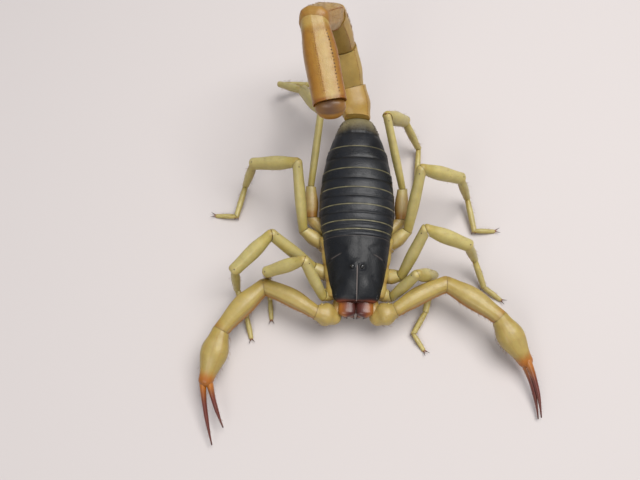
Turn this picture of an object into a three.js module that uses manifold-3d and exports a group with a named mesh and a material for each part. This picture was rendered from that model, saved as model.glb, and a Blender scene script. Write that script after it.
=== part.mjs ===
// Giant desert hairy scorpion, life size, standing with its tail arched over its back.
// Millimetres, +Z up. The head points to -Y, the tail to +Y, and the animal's left side is +X.
// The origin is the centre of the footprint of the whole animal, at floor level.

import * as THREE from 'three';
import { mergeVertices } from 'three/addons/utils/BufferGeometryUtils.js';
import Module from 'manifold-3d';

const wasm = await Module();
wasm.setup();

// ---------------------------------------------------------------- driving dimensions

const GAP = 0.3; // between neighbouring pieces
const EYE_GAP = 0.1; // between an eye and its socket
const FAR = 200; // size of the block that trims a piece to a plane
const RIGHT = -1; // side signs: the animal's right is -X
const LEFT = 1;

// Trunk stations from the front of the head to the root of the tail:
// y, half width, height of the back, of the side seam and of the belly.
const TRUNK = [
  { y: -12.8, half: 3.7, crest: 9.3, seam: 8.0, belly: 5.4 },
  { y: -12.0, half: 4.5, crest: 9.9, seam: 8.0, belly: 4.8 },
  { y: -8.0, half: 5.5, crest: 11.0, seam: 8.1, belly: 3.9 },
  { y: -3.5, half: 6.3, crest: 11.8, seam: 8.2, belly: 3.5 },
  { y: 0, half: 6.8, crest: 12.3, seam: 8.3, belly: 3.4 },
  { y: 5.5, half: 7.7, crest: 13.0, seam: 8.3, belly: 3.3 },
  { y: 10.5, half: 7.7, crest: 13.0, seam: 8.4, belly: 3.4 },
  { y: 15.5, half: 7.2, crest: 12.7, seam: 8.5, belly: 3.8 },
  { y: 20.7, half: 6.2, crest: 12.1, seam: 8.6, belly: 4.6 },
  { y: 25.0, half: 4.8, crest: 11.6, seam: 8.7, belly: 5.6 },
  { y: 28.2, half: 3.4, crest: 11.3, seam: 8.8, belly: 6.8 },
];
const CARAPACE_FRONT = -12.8;
const CARAPACE_REAR = 0;
const TERGITE_REARS = [1.4, 3.2, 6.7, 10.6, 15.2, 20.8, 28.0];
const CHEST = { front: -10.2, rear: 1.5, inset: 1.8 };
const BELLY = { front: 1.8, rear: 28.0, inset: 0.1 };
const PLATE_LIFT = 0.18; // each plate's rear edge stands over the next one's front
const DOME_SEGMENTS = 10;

const EYE = { radius: 0.46, x: 0.95, y: -6.5, sink: 0.1 };
const EYE_MOUND = { halfWidth: 1.0, halfLength: 2.1, height: 0.55 };

const CHELICERA = { x: 1.72, y: -9.6, z: 6.8, length: 4.8, width: 3.2, depth: 2.7 };
const CHELICERA_TAPER = [0.85, 1, 0.66]; // of its girth from root to front
const CHELICERA_FINGER = { length: 2.2, girth: [1.3, 1.1, 0.55], fixedOut: -0.6, movingOut: 0.8, back: 0.2 };

const TAIL_ROOT = [0, 28.2, 10.4];
const TAIL = [
  { name: 'metasoma_1', length: 7.4, pitch: 22, lean: -13, width: [5.4, 6.7, 6.1], depth: [4.6, 5.9, 5.4] },
  { name: 'metasoma_2', length: 8.8, pitch: 52, lean: -14, width: [5.4, 6.3, 5.8], depth: [4.8, 5.7, 5.4] },
  { name: 'metasoma_3', length: 9.6, pitch: 88, lean: -15, width: [5.3, 6.1, 5.7], depth: [4.8, 5.6, 5.3] },
  { name: 'metasoma_4', length: 11.7, pitch: 137, lean: -16, width: [5.3, 6.1, 5.8], depth: [4.8, 5.5, 5.2] },
  { name: 'metasoma_5', length: 15.8, pitch: 198, lean: 12, width: [5.2, 6.4, 6.2], depth: [4.8, 5.4, 4.6] },
];
const TELSON_NECK = {
  drop: 0.5, pitch: 250, lean: 6, length: 1.4, width: [5.6, 5.8, 5.2], depth: [3.4, 3.6, 3.4],
};
const TELSON_BULB = { pitch: 318, lean: -2, length: 7.0, width: [4.8, 5.4, 2.0], depth: [3.0, 4.2, 2.0] };
const STING = { length: 5.4, root: 1.9, tip: 0.55, hook: 45 };

// Lengths of the leg segments from the first to the fourth pair of legs.
const LEG_LENGTHS = {
  trochanter: [3.2, 3.9, 5.0, 6.8],
  femur: [10.5, 12.5, 13.9, 16.0],
  patella: [8.9, 10.1, 11.0, 11.1],
  tibia: [7.7, 9.1, 10.3, 9.4],
  basitarsus: [5.0, 6.2, 7.4, 9.4],
  telotarsus: [3.8, 4.2, 4.5, 5.4],
};
const LEG_GIRTH = [0.94, 1.03, 1.0, 1.0];
const LEG_SHAPES = {
  coxa: { width: [2.6, 3.0, 2.8], depth: [2.8, 2.9, 2.6] },
  trochanter: { width: [2.4, 3.0, 2.1], depth: [2.4, 2.9, 2.2] },
  femur: { width: [1.9, 2.35, 2.0], depth: [2.1, 2.8, 2.4] },
  patella: { width: [1.9, 2.8, 2.3], depth: [2.1, 3.1, 2.5] },
  tibia: { width: [1.4, 1.65, 1.3], depth: [1.6, 1.9, 1.4] },
  basitarsus: { width: [1.1, 1.3, 1.15], depth: [1.1, 1.35, 1.15] },
  telotarsus: { width: [0.9, 1.1, 0.9], depth: [0.9, 1.1, 0.9] },
};
const HIND_FEMUR_WIDTH = [1.4, 1.6, 1.5]; // the hind femora are flatter than the rest
const HINDMOST = LEG_GIRTH.length - 1; // of the pairs of legs
const LEG_HIPS = [
  [4.3, -9.8, 5.6],
  [5.5, -6.3, 5.6],
  [7.0, 0.4, 5.9],
  [9.4, 6.4, 6.0],
];
const COXA_ROOTS = [
  [1.6, -8.4, 5.2],
  [1.8, -5.6, 5.1],
  [2.0, -3.0, 5.0],
  [2.0, -0.6, 5.0],
];
const TARSUS_JOINT_HEIGHT = 1.1;
const FOOT_HEIGHT = 0.26; // of the middle of the foot's end, so that the floor cuts a small flat
const CLAW = { length: 1.5, girth: [0.7, 0.65, 0.5], spread: 24, pitch: 2 };

// The pose of each leg: heading and pitch of its segments, in degrees. A heading of 0 is the
// animal's left, 90 its rear. The two tarsi follow from the height of the floor.
const LEG_POSES = [
  { side: RIGHT, pair: 1, trochanter: [-148, 30], femur: [133, 59], patella: [-175, -35],
    tibia: [100, -76], tarsi: [-84, -84] },
  { side: RIGHT, pair: 2, trochanter: [160, 24], femur: [160, 47], patella: [-140, -25],
    tibia: [-120, -85], tarsi: [-68, -75] },
  { side: RIGHT, pair: 3, trochanter: [148, 18], femur: [97.5, 42], patella: [165, -29],
    tibia: [180, -75], tarsi: [-102, 175], lengths: { femur: 14.3 } },
  { side: RIGHT, pair: 4, trochanter: [93, 17], femur: [83, 26], patella: [115, -28],
    tibia: [137, -33], tarsi: [18, -55] },
  { side: LEFT, pair: 1, trochanter: [-9, -17], femur: [28, 57], patella: [33, -57],
    tibia: [-102, -13], tarsi: [-120, -56], lengths: { femur: 8.9, patella: 9.5 } },
  { side: LEFT, pair: 2, trochanter: [-3, 22], femur: [57, 57], patella: [-7, -28],
    tibia: [9, -70], tarsi: [-65, -35] },
  { side: LEFT, pair: 3, trochanter: [40, 20], femur: [79, 52], patella: [10, -35],
    tibia: [8, -71], tarsi: [-79, 5] },
  { side: LEFT, pair: 4, trochanter: [88, 16], femur: [111, 44], patella: [45, -53],
    tibia: [-24, -62], tarsi: [-94, -104] },
];

const PEDIPALP_HIP = [4.2, -14.7, 5.0];
const PEDIPALP_ROOT = [1.7, -9.0, 5.2];
const PEDIPALP = {
  coxa: { width: [2.8, 3.2, 2.6], depth: [3.6, 3.4, 2.8] },
  trochanter: { length: 4.18, width: [3.4, 4.6, 2.9], depth: [3.0, 4.2, 2.9] },
  femur: { length: 11.7, width: [2.6, 3.5, 3.1], depth: [2.6, 3.4, 3.0], arch: 0.5 },
  patella: { length: 12.1, width: [3.0, 4.1, 3.0], depth: [3.0, 4.0, 3.0], arch: 0.4 },
  palm: { length: 10.0, width: [3.3, 5.4, 2.9], depth: [3.0, 4.7, 2.8], peak: 0.42 },
  finger: { width: [1.3, 0.95, 0.5], depth: [1.7, 1.15, 0.5] },
};
const FINGER_OFFSET = 0.7; // of each finger's root from the palm's axis
const PEDIPALP_POSES = [
  { side: RIGHT, trochanter: [177.4, 26.7], femur: [154, 0], patella: [-131, -3], palm: [-104, -12],
    fixedFinger: { length: 9.0, heading: -76, pitch: -14, hook: -12 },
    movingFinger: { length: 12.3, heading: -84, pitch: -14, hook: -11 }, fingerRoll: 0 },
  { side: LEFT, trochanter: [16.2, 23.8], femur: [29, 2], patella: [-34, 1], palm: [-55, -21],
    fixedFinger: { length: 10.8, heading: -64, pitch: -17, hook: 22 },
    movingFinger: { length: 11.0, heading: -65, pitch: -12, hook: 22 }, fingerRoll: 100 },
];

const PECTEN = { x: 2.2, y: 3.2, top: 3.05, length: 7.4, breadth: 1.3, thickness: 0.5 };
const PECTEN_TEETH = { count: 10, length: 1.1, fill: 0.6, taper: 0.45 };
const PECTEN_SWEEP = 38; // degrees that the comb is swept back

// ---------------------------------------------------------------- materials

const finish = (color, roughness) => new THREE.MeshStandardMaterial({ color, roughness, metalness: 0 });
const BLACK_PLATE = finish(0x17181b, 0.35);
const DARK_BROWN = finish(0x3a241c, 0.4);
const AMBER = finish(0xb0853a, 0.45);
const STRAW = finish(0xbdb062, 0.45);
const PALE_BELLY = finish(0xb39a5c, 0.5);
const RED_BROWN = finish(0x8a3f26, 0.4);
const EYE_BLACK = finish(0x050505, 0.1);

// ---------------------------------------------------------------- vectors and solids

const vector = ([x, y, z]) => new THREE.Vector3(x, y, z);
const radians = THREE.MathUtils.degToRad;

/** Unit vector of a heading and a pitch in degrees. */
function toward(heading, pitch) {
  const level = Math.cos(radians(pitch));
  return new THREE.Vector3(
    level * Math.cos(radians(heading)),
    level * Math.sin(radians(heading)),
    Math.sin(radians(pitch)),
  );
}

/** Unit vector along the tail: the pitch runs on past upright, and the lean is sideways. */
function alongTail(pitch, lean) {
  const upright = Math.cos(radians(lean));
  return new THREE.Vector3(
    Math.sin(radians(lean)),
    upright * Math.cos(radians(pitch)),
    upright * Math.sin(radians(pitch)),
  );
}

/** A side vector across a limb, level with the floor. */
const levelSide = (along) => new THREE.Vector3(along.y, -along.x, 0).normalize();

/** A side vector across the tail, as near to +X as the tail allows. */
const tailSide = (along) => new THREE.Vector3(1, 0, 0).addScaledVector(along, -along.x).normalize();

function toSolid(geometry) {
  const bare = geometry.index ? geometry.toNonIndexed() : geometry.clone();
  bare.deleteAttribute('normal');
  bare.deleteAttribute('uv');
  const merged = mergeVertices(bare);
  const vertProperties = new Float32Array(merged.attributes.position.array);
  const triVerts = new Uint32Array(merged.index.array);
  return new wasm.Manifold(new wasm.Mesh({ numProp: 3, vertProperties, triVerts }));
}

function toGeometry(solid) {
  const { vertProperties, triVerts } = solid.getMesh();
  const geometry = new THREE.BufferGeometry();
  geometry.setAttribute('position', new THREE.BufferAttribute(new Float32Array(vertProperties), 3));
  geometry.setIndex(new THREE.BufferAttribute(new Uint32Array(triVerts), 1));
  return geometry;
}

/** Removes all of a solid that lies past a plane, on the side that the normal points to. */
function trim(solid, point, normal) {
  const block = new THREE.BoxGeometry(FAR, FAR, FAR);
  block.translate(0, 0, FAR / 2);
  block.applyQuaternion(new THREE.Quaternion().setFromUnitVectors(new THREE.Vector3(0, 0, 1), normal));
  block.translate(point.x, point.y, point.z);
  return solid.subtract(toSolid(block));
}

const join = (solids) => solids.reduce((whole, solid) => whole.add(solid));

/** The largest body of a solid, without the slivers that a cut leaves beside it. */
const mainBody = (solid) => solid.decompose().reduce((a, b) => (b.volume() > a.volume() ? b : a));

/** Eases from the first to the second to the third value as t runs from 0 to 1. */
function swell([first, second, third], t, peak = 0.45) {
  const from = t < peak ? first : third;
  const reach = t < peak ? (peak - t) / peak : (t - peak) / (1 - peak);
  return second + (from - second) * (1 - Math.cos(Math.PI * reach)) / 2;
}

// ---------------------------------------------------------------- limb segments

const scaled = ({ width, depth }, factor) => ({
  width: width.map((value) => value * factor),
  depth: depth.map((value) => value * factor),
});

const grown = ({ width, depth }, extra) => ({
  width: width.map((value) => value + 2 * extra),
  depth: depth.map((value) => value + 2 * extra),
});

/**
 * One segment of a limb: a turned body of round ends with an oval or squarish section. Widths
 * are along the side vector, depths across it. Its axis bows towards the side vector, more and
 * more with a hook, or in the middle with an arch.
 */
function segment({ from, along, side, length, width, depth, sides = 6, rings = 3, square = 2,
  hook = 0, arch = 0, bluntness = 0.5, peak = 0.45 }) {
  const startCap = bluntness * Math.min(width[0], depth[0]) / length;
  const endCap = bluntness * Math.min(width[2], depth[2]) / length;
  const profile = [[0, -startCap]];
  for (let ring = 0; ring <= rings; ring += 1) {
    profile.push([1, ring / rings]);
  }
  profile.push([0, 1 + endCap]);
  const geometry = new THREE.LatheGeometry(profile.map(([r, t]) => new THREE.Vector2(r, t)), sides);
  const top = side.clone().cross(along);
  const place = geometry.attributes.position;
  for (let i = 0; i < place.count; i += 1) {
    const t = place.getY(i);
    const inside = THREE.MathUtils.clamp(t, 0, 1);
    const [x, z] = squared(place.getX(i), place.getZ(i), square);
    const bow = Math.tan(radians(hook)) * length * inside * inside / 2 + arch * Math.sin(Math.PI * inside);
    const point = from.clone()
      .addScaledVector(along, t * length)
      .addScaledVector(side, x * swell(width, inside, peak) / 2 + bow)
      .addScaledVector(top, z * swell(depth, inside, peak) / 2);
    place.setXYZ(i, point.x, point.y, point.z);
  }
  return toSolid(geometry);
}

/** Moves a point of a round section out towards a square of the same width. */
function squared(x, z, power) {
  const reach = Math.hypot(x, z);
  if (reach === 0) {
    return [0, 0];
  }
  const grow = (Math.abs(x / reach) ** power + Math.abs(z / reach) ** power) ** (-1 / power);
  return [x * grow, z * grow];
}

/**
 * Lays segments end to end and parts each pair by a thin cut through the bend.
 * Each one gets its solid, its start and its end.
 */
function chain(start, segments) {
  let joint = start.clone();
  const laid = segments.map((one) => {
    const from = joint.clone();
    joint = joint.clone().addScaledVector(one.along, one.length);
    return { ...one, from, to: joint.clone(), solid: segment({ ...one, from }) };
  });
  for (let i = 0; i + 1 < laid.length; i += 1) {
    const bend = laid[i].along.clone().add(laid[i + 1].along).normalize();
    const shift = laid[i].joined ? 0 : GAP / 2;
    const before = laid[i].to.clone().addScaledVector(bend, -shift);
    const after = laid[i].to.clone().addScaledVector(bend, shift);
    if (!laid[i].joined) {
      laid[i].solid = trim(laid[i].solid, before, bend);
      laid[i + 1].solid = trim(laid[i + 1].solid, after, bend.clone().negate());
    }
  }
  return laid;
}

// ---------------------------------------------------------------- scene graph

const scorpion = new THREE.Group();

/** Adds a node whose pivot is the given joint. */
function addPiece(name, material, solid, pivot = new THREE.Vector3()) {
  const geometry = toGeometry(solid);
  geometry.translate(-pivot.x, -pivot.y, -pivot.z);
  const mesh = new THREE.Mesh(geometry, material);
  mesh.name = name;
  mesh.position.copy(pivot);
  scorpion.add(mesh);
}

// ---------------------------------------------------------------- trunk

/** A measure of the trunk at any y, on a smooth curve through the stations. */
function trunkAt(measure, y) {
  const last = TRUNK.length - 1;
  const next = THREE.MathUtils.clamp(TRUNK.findIndex((station) => station.y >= y), 1, last);
  const [a, b] = [TRUNK[next - 1], TRUNK[next]];
  const [before, after] = [TRUNK[Math.max(next - 2, 0)], TRUNK[Math.min(next + 1, last)]];
  const t = (y - a.y) / (b.y - a.y);
  const slopeA = (b[measure] - before[measure]) / (b.y - before.y) * (b.y - a.y);
  const slopeB = (after[measure] - a[measure]) / (after.y - a.y) * (b.y - a.y);
  const rise = b[measure] - a[measure];
  const curve = 3 * rise - 2 * slopeA - slopeB + t * (slopeA + slopeB - 2 * rise);
  return a[measure] + t * (slopeA + t * curve);
}

/** A length of the trunk above its side seam (up = 1) or below it (up = -1). */
function trunkShell({ front, rear, up, steps, lift = 0, inset = 0 }) {
  const half = new THREE.Shape();
  half.absarc(0, 0, 1, 0, Math.PI, false);
  half.closePath();
  const geometry = new THREE.ExtrudeGeometry(half, {
    depth: 1, steps, bevelEnabled: false, curveSegments: DOME_SEGMENTS,
  });
  const place = geometry.attributes.position;
  for (let i = 0; i < place.count; i += 1) {
    const back = up > 0 ? 1 - place.getZ(i) : place.getZ(i);
    const y = front + (rear - front) * back;
    const seam = trunkAt('seam', y) + up * GAP / 2;
    const outer = up > 0 ? trunkAt('crest', y) : trunkAt('belly', y);
    const raised = lift * back * place.getY(i);
    const across = (trunkAt('half', y) - inset) * place.getX(i);
    place.setXYZ(i, across, y, seam + (outer - seam) * place.getY(i) + up * raised);
  }
  return toSolid(geometry);
}

function eyeCentre(side) {
  const crest = trunkAt('crest', EYE.y);
  return new THREE.Vector3(side * EYE.x, EYE.y, crest + EYE_MOUND.height - EYE.sink);
}

function eyeBall(side, radius) {
  const ball = new THREE.SphereGeometry(radius, 8, 5);
  const centre = eyeCentre(side);
  ball.translate(centre.x, centre.y, centre.z);
  return toSolid(ball);
}

function eyeMound() {
  const mound = new THREE.SphereGeometry(1, 10, 5);
  const { halfWidth, halfLength, height } = EYE_MOUND;
  mound.scale(halfWidth, halfLength, 2 * height);
  mound.translate(0, EYE.y, trunkAt('crest', EYE.y) - 0.5 * height);
  return toSolid(mound);
}

function addCarapace() {
  const shield = trunkShell({ front: CARAPACE_FRONT, rear: CARAPACE_REAR, up: 1, steps: 5 });
  const sockets = [RIGHT, LEFT].map((side) => eyeBall(side, EYE.radius + EYE_GAP));
  addPiece('carapace', BLACK_PLATE, join([shield, eyeMound()]).subtract(join(sockets)));
  addPiece('eye_right', EYE_BLACK, eyeBall(RIGHT, EYE.radius), eyeCentre(RIGHT));
  addPiece('eye_left', EYE_BLACK, eyeBall(LEFT, EYE.radius), eyeCentre(LEFT));
}

function addTergites() {
  TERGITE_REARS.forEach((rear, index) => {
    const front = (index === 0 ? CARAPACE_REAR : TERGITE_REARS[index - 1]) + GAP;
    const steps = rear - front > 3 ? 2 : 1;
    const plate = trunkShell({ front, rear, up: 1, steps, lift: PLATE_LIFT });
    addPiece(`tergite_${index + 1}`, BLACK_PLATE, plate);
  });
}

// ---------------------------------------------------------------- chelicerae

function cheliceraBody(side, extra = 0) {
  const { x, y, z, length, width, depth } = CHELICERA;
  const along = toward(-90, 0);
  return segment({
    from: new THREE.Vector3(side * x, y, z), along, side: levelSide(along), length, sides: 8, rings: 2,
    width: CHELICERA_TAPER.map((share) => width * share + 2 * extra),
    depth: CHELICERA_TAPER.map((share) => depth * share + 2 * extra),
  });
}

function cheliceraFinger(side, outward, extra = 0) {
  const { x, y, z, length } = CHELICERA;
  const girth = CHELICERA_FINGER.girth.map((value) => value + 2 * extra);
  const along = new THREE.Vector3(-side * 0.35, -0.35, -1).normalize();
  return segment({
    from: new THREE.Vector3(side * (x + outward), y - length + CHELICERA_FINGER.back, z - 0.7), along,
    side: levelSide(along), length: CHELICERA_FINGER.length, sides: 6, rings: 2, width: girth, depth: girth,
  });
}

function addChelicerae() {
  const { fixedOut, movingOut } = CHELICERA_FINGER;
  [['right', RIGHT], ['left', LEFT]].forEach(([label, side]) => {
    const pivot = new THREE.Vector3(side * CHELICERA.x, CHELICERA.y, CHELICERA.z);
    const wall = new THREE.Vector3(side * GAP / 2, 0, 0);
    const inward = new THREE.Vector3(-side, 0, 0);
    const hand = join([cheliceraBody(side), cheliceraFinger(side, fixedOut)]);
    const body = trim(hand, wall, inward).subtract(cheliceraFinger(side, movingOut, GAP));
    addPiece(`chelicera_${label}`, RED_BROWN, body, pivot);
    addPiece(`chelicera_finger_${label}`, RED_BROWN, cheliceraFinger(side, movingOut), pivot);
  });
}

// ---------------------------------------------------------------- tail

function tailSegments() {
  return TAIL.map((one) => {
    const along = alongTail(one.pitch, one.lean);
    return { ...one, along, side: tailSide(along), sides: 12, rings: 3, square: 2.8, bluntness: 0.35 };
  });
}

function addTail() {
  const laid = chain(vector(TAIL_ROOT), tailSegments());
  const rootFace = new THREE.Vector3(0, TERGITE_REARS[TERGITE_REARS.length - 1] + GAP, 0);
  laid[0].solid = trim(laid[0].solid, rootFace, new THREE.Vector3(0, -1, 0));
  const last = laid[laid.length - 1];
  last.solid = trim(last.solid, last.to, last.along);
  laid.forEach((one) => addPiece(one.name, AMBER, one.solid, one.from));
  addTelson(last);
}

/** The poison bulb on its short neck, and the sting that hooks towards the underside. */
function addTelson(ring) {
  const { to, along, side } = ring;
  const top = side.clone().cross(along);
  const root = to.clone().addScaledVector(along, GAP).addScaledVector(top, TELSON_NECK.drop);
  const neckWay = alongTail(TELSON_NECK.pitch, TELSON_NECK.lean);
  const bulbWay = alongTail(TELSON_BULB.pitch, TELSON_BULB.lean);
  const neck = segment({ ...TELSON_NECK, from: root, along: neckWay, side: tailSide(neckWay), rings: 1 });
  const bulbRoot = root.clone().addScaledVector(neckWay, TELSON_NECK.length);
  const bulb = segment({
    ...TELSON_BULB, from: bulbRoot, along: bulbWay, side: tailSide(bulbWay), sides: 9, rings: 4,
  });
  const face = to.clone().addScaledVector(along, GAP);
  const bulbEnd = bulbRoot.clone().addScaledVector(bulbWay, TELSON_BULB.length);
  const neckCut = trim(neck, face, along.clone().negate());
  const socket = trim(clearance(ring), face, along);
  addPiece('telson_vesicle', AMBER, trim(join([neckCut, bulb]).subtract(socket), bulbEnd, bulbWay), root);
  const stingRoot = bulbEnd.clone().addScaledVector(bulbWay, GAP);
  const girth = [STING.root, STING.root * 0.85, STING.tip];
  const sting = segment({
    from: stingRoot, along: bulbWay, side: bulbWay.clone().cross(tailSide(bulbWay)), length: STING.length,
    width: girth, depth: girth, rings: 5, hook: STING.hook, peak: 0.3,
  });
  addPiece('telson_sting', DARK_BROWN, trim(sting, stingRoot, bulbWay.clone().negate()), stingRoot);
}

// ---------------------------------------------------------------- legs

/** The pitch that takes a segment of this length from one height down to another. */
const pitchDown = (from, to, length) => THREE.MathUtils.radToDeg(Math.asin((to - from) / length));

function legSegments(pose) {
  const index = pose.pair - 1;
  const lengthOf = (name) => pose.lengths?.[name] ?? LEG_LENGTHS[name][index];
  const part = (name, heading, pitch, more = {}) => {
    const along = toward(heading, pitch);
    const shape = scaled(LEG_SHAPES[name], LEG_GIRTH[index]);
    if (name === 'femur' && index === HINDMOST) {
      shape.width = HIND_FEMUR_WIDTH;
    }
    return { name, along, side: levelSide(along), length: lengthOf(name), ...shape, ...more };
  };
  const upper = [
    part('trochanter', ...pose.trochanter, { joined: true, rings: 1 }),
    part('femur', ...pose.femur),
    part('patella', ...pose.patella),
    part('tibia', ...pose.tibia, { joined: true, sides: 6, rings: 2 }),
  ];
  const ankle = upper.reduce((height, one) => height + one.along.z * one.length, LEG_HIPS[index][2]);
  const instep = pitchDown(ankle, TARSUS_JOINT_HEIGHT, lengthOf('basitarsus'));
  const sole = pitchDown(TARSUS_JOINT_HEIGHT, FOOT_HEIGHT, lengthOf('telotarsus'));
  return [
    ...upper,
    part('basitarsus', pose.tarsi[0], instep, { joined: true, sides: 6, rings: 1 }),
    part('telotarsus', pose.tarsi[1], sole, { sides: 6, rings: 1 }),
  ];
}

/** Two small claws at the end of a foot. */
function clawsAt(foot, heading) {
  return join([-1, 1].map((turn) => {
    const along = toward(heading + turn * CLAW.spread, CLAW.pitch);
    return segment({
      from: foot, along, side: levelSide(along), length: CLAW.length, width: CLAW.girth, depth: CLAW.girth,
      sides: 4, rings: 1, bluntness: 0,
    });
  }));
}

const hipOf = (side, [x, y, z]) => new THREE.Vector3(side * x, y, z);

function addLeg(pose) {
  const label = `${pose.side === LEFT ? 'left' : 'right'}_${pose.pair}`;
  const hip = hipOf(pose.side, LEG_HIPS[pose.pair - 1]);
  const laid = chain(hip, legSegments(pose));
  const [trochanter, femur, patella, tibia, basitarsus, telotarsus] = laid;
  const hipFace = hip.clone().addScaledVector(trochanter.along, GAP);
  const thigh = trim(join([trochanter.solid, femur.solid]), hipFace, trochanter.along.clone().negate());
  const claws = clawsAt(telotarsus.to, pose.tarsi[1]);
  const lower = join([tibia.solid, basitarsus.solid, telotarsus.solid, claws]);
  const foot = trim(lower, new THREE.Vector3(), new THREE.Vector3(0, 0, -1));
  addPiece(`leg_${label}_femur`, STRAW, thigh, hip);
  addPiece(`leg_${label}_patella`, STRAW, patella.solid, patella.from);
  addPiece(`leg_${label}_tibia`, STRAW, foot, tibia.from);
  return { hip, trochanter };
}

// ---------------------------------------------------------------- pedipalps

function pedipalpSegments(pose) {
  return ['trochanter', 'femur', 'patella', 'palm'].map((name) => {
    const along = toward(...pose[name]);
    const shape = PEDIPALP[name];
    const arch = -pose.side * (shape.arch ?? 0);
    return { name, along, side: levelSide(along), sides: 8, rings: 4, square: 2.3, ...shape, arch };
  });
}

/** A tapered finger of the claw, set off from the palm's end in the given direction. */
function finger(palm, offset, { length, heading, pitch, hook }, extra = 0) {
  const along = toward(heading, pitch);
  const { width, depth } = grown(PEDIPALP.finger, extra);
  return segment({
    from: palm.to.clone().add(offset), along, side: levelSide(along), length,
    width, depth, rings: 4, hook, peak: 0.5,
  });
}

function addPedipalp(pose) {
  const label = pose.side === LEFT ? 'left' : 'right';
  const hip = hipOf(pose.side, PEDIPALP_HIP);
  const laid = chain(hip, pedipalpSegments(pose));
  const [trochanter, femur, patella, palm] = laid;
  const hipFace = hip.clone().addScaledVector(trochanter.along, GAP);
  trochanter.solid = trim(trochanter.solid, hipFace, trochanter.along.clone().negate());
  const behind = palm.along.clone().negate();
  const offset = palm.side.clone().applyAxisAngle(palm.along, radians(-pose.fingerRoll));
  offset.multiplyScalar(pose.side * FINGER_OFFSET);
  const moving = (extra) => finger(palm, offset.clone().negate(), pose.movingFinger, extra);
  const fixed = finger(palm, offset, pose.fixedFinger);
  const clearance = trim(moving(GAP), palm.to.clone().addScaledVector(palm.along, -GAP), behind);
  addPiece(`pedipalp_${label}_trochanter`, STRAW, trochanter.solid, hip);
  addPiece(`pedipalp_${label}_femur`, STRAW, femur.solid, femur.from);
  addPiece(`pedipalp_${label}_patella`, STRAW, patella.solid, patella.from);
  addPiece(`pedipalp_${label}_palm`, AMBER, join([palm.solid, fixed]).subtract(clearance), palm.from);
  addPiece(`pedipalp_${label}_finger`, RED_BROWN, trim(moving(0), palm.to, behind), palm.to);
  return { hip, trochanter };
}

// ---------------------------------------------------------------- underside

/** The fixed base segment of a leg or pedipalp, up to its hip. */
function coxa(root, { hip }, shape, extra = 0) {
  const along = hip.clone().sub(root).normalize();
  return segment({
    from: root, along, side: levelSide(along), length: hip.distanceTo(root), sides: 6, rings: 1,
    ...grown(shape, extra),
  });
}

/** The base segment of a leg, cut off square to the segment after it. */
function legCoxa(leg, index, extra = 0) {
  const root = hipOf(Math.sign(leg.hip.x), COXA_ROOTS[index % COXA_ROOTS.length]);
  const { hip, trochanter } = leg;
  const face = hip.clone().addScaledVector(trochanter.along, extra);
  return trim(coxa(root, leg, LEG_SHAPES.coxa, extra), face, trochanter.along);
}

/** The base segment of a pedipalp, with the socket of the segment after it. */
function palpCoxa(palp) {
  const root = hipOf(Math.sign(palp.hip.x), PEDIPALP_ROOT);
  return coxa(root, palp, PEDIPALP.coxa).subtract(clearance(palp.trochanter));
}

/** A limb segment made larger all round by the gap between pieces. */
const clearance = (one) => segment({ ...one, ...grown(one, GAP) });

function addUnderside(legs, pedipalps) {
  const chest = trunkShell({ ...CHEST, up: -1, steps: 3 });
  const legCoxae = legs.map((leg, index) => legCoxa(leg, index));
  const whole = join([chest, ...legCoxae, ...pedipalps.map(palpCoxa)]);
  const mouthparts = join([RIGHT, LEFT].flatMap((side) => [
    cheliceraBody(side, GAP),
    cheliceraFinger(side, CHELICERA_FINGER.movingOut, GAP),
    cheliceraFinger(side, CHELICERA_FINGER.fixedOut, GAP),
  ]));
  const seam = new THREE.Vector3(0, 0, TRUNK[0].seam - GAP / 2);
  const solid = trim(whole.subtract(mouthparts), seam, new THREE.Vector3(0, 0, 1));
  addPiece('prosoma_underside', PALE_BELLY, mainBody(solid));
}

function addBelly(legs) {
  const belly = trunkShell({ ...BELLY, up: -1, steps: 4 });
  const hollows = legs.flatMap((leg, index) => {
    if (index % COXA_ROOTS.length !== HINDMOST) {
      return [];
    }
    return [legCoxa(leg, index, GAP), clearance(leg.trochanter)];
  });
  addPiece('belly', PALE_BELLY, belly.subtract(join(hollows)));
}

/** A comb under the body: a back strip with a row of blunt teeth behind it. */
function addPecten(side, label) {
  const { length, breadth, thickness } = PECTEN;
  const step = length / PECTEN_TEETH.count;
  const outline = new THREE.Shape();
  outline.moveTo(0, 0);
  outline.lineTo(length, 0);
  for (let i = PECTEN_TEETH.count - 1; i >= 0; i -= 1) {
    const size = 1 - PECTEN_TEETH.taper * (i / PECTEN_TEETH.count);
    const inner = breadth * size;
    const outer = (breadth + PECTEN_TEETH.length) * size;
    const end = (i + PECTEN_TEETH.fill) * step;
    outline.lineTo(end, inner);
    outline.lineTo(end, outer);
    outline.lineTo(i * step, outer);
    outline.lineTo(i * step, inner);
  }
  outline.closePath();
  const comb = new THREE.ExtrudeGeometry(outline, { depth: thickness, bevelEnabled: false });
  comb.rotateZ(radians(PECTEN_SWEEP));
  const left = toSolid(comb);
  const pivot = new THREE.Vector3(side * PECTEN.x, PECTEN.y, PECTEN.top - thickness);
  const solid = side === LEFT ? left : left.mirror([1, 0, 0]);
  addPiece(`pecten_${label}`, PALE_BELLY, solid.translate(pivot.toArray()), pivot);
}

// ---------------------------------------------------------------- assembly

addCarapace();
addTergites();
addChelicerae();
addTail();
const legs = LEG_POSES.map(addLeg);
const pedipalps = PEDIPALP_POSES.map(addPedipalp);
addUnderside(legs, pedipalps);
addBelly(legs);
addPecten(RIGHT, 'right');
addPecten(LEFT, 'left');

const footprint = new THREE.Box3().setFromObject(scorpion).getCenter(new THREE.Vector3());
scorpion.position.set(-footprint.x, -footprint.y, 0);

export default scorpion;
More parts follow.
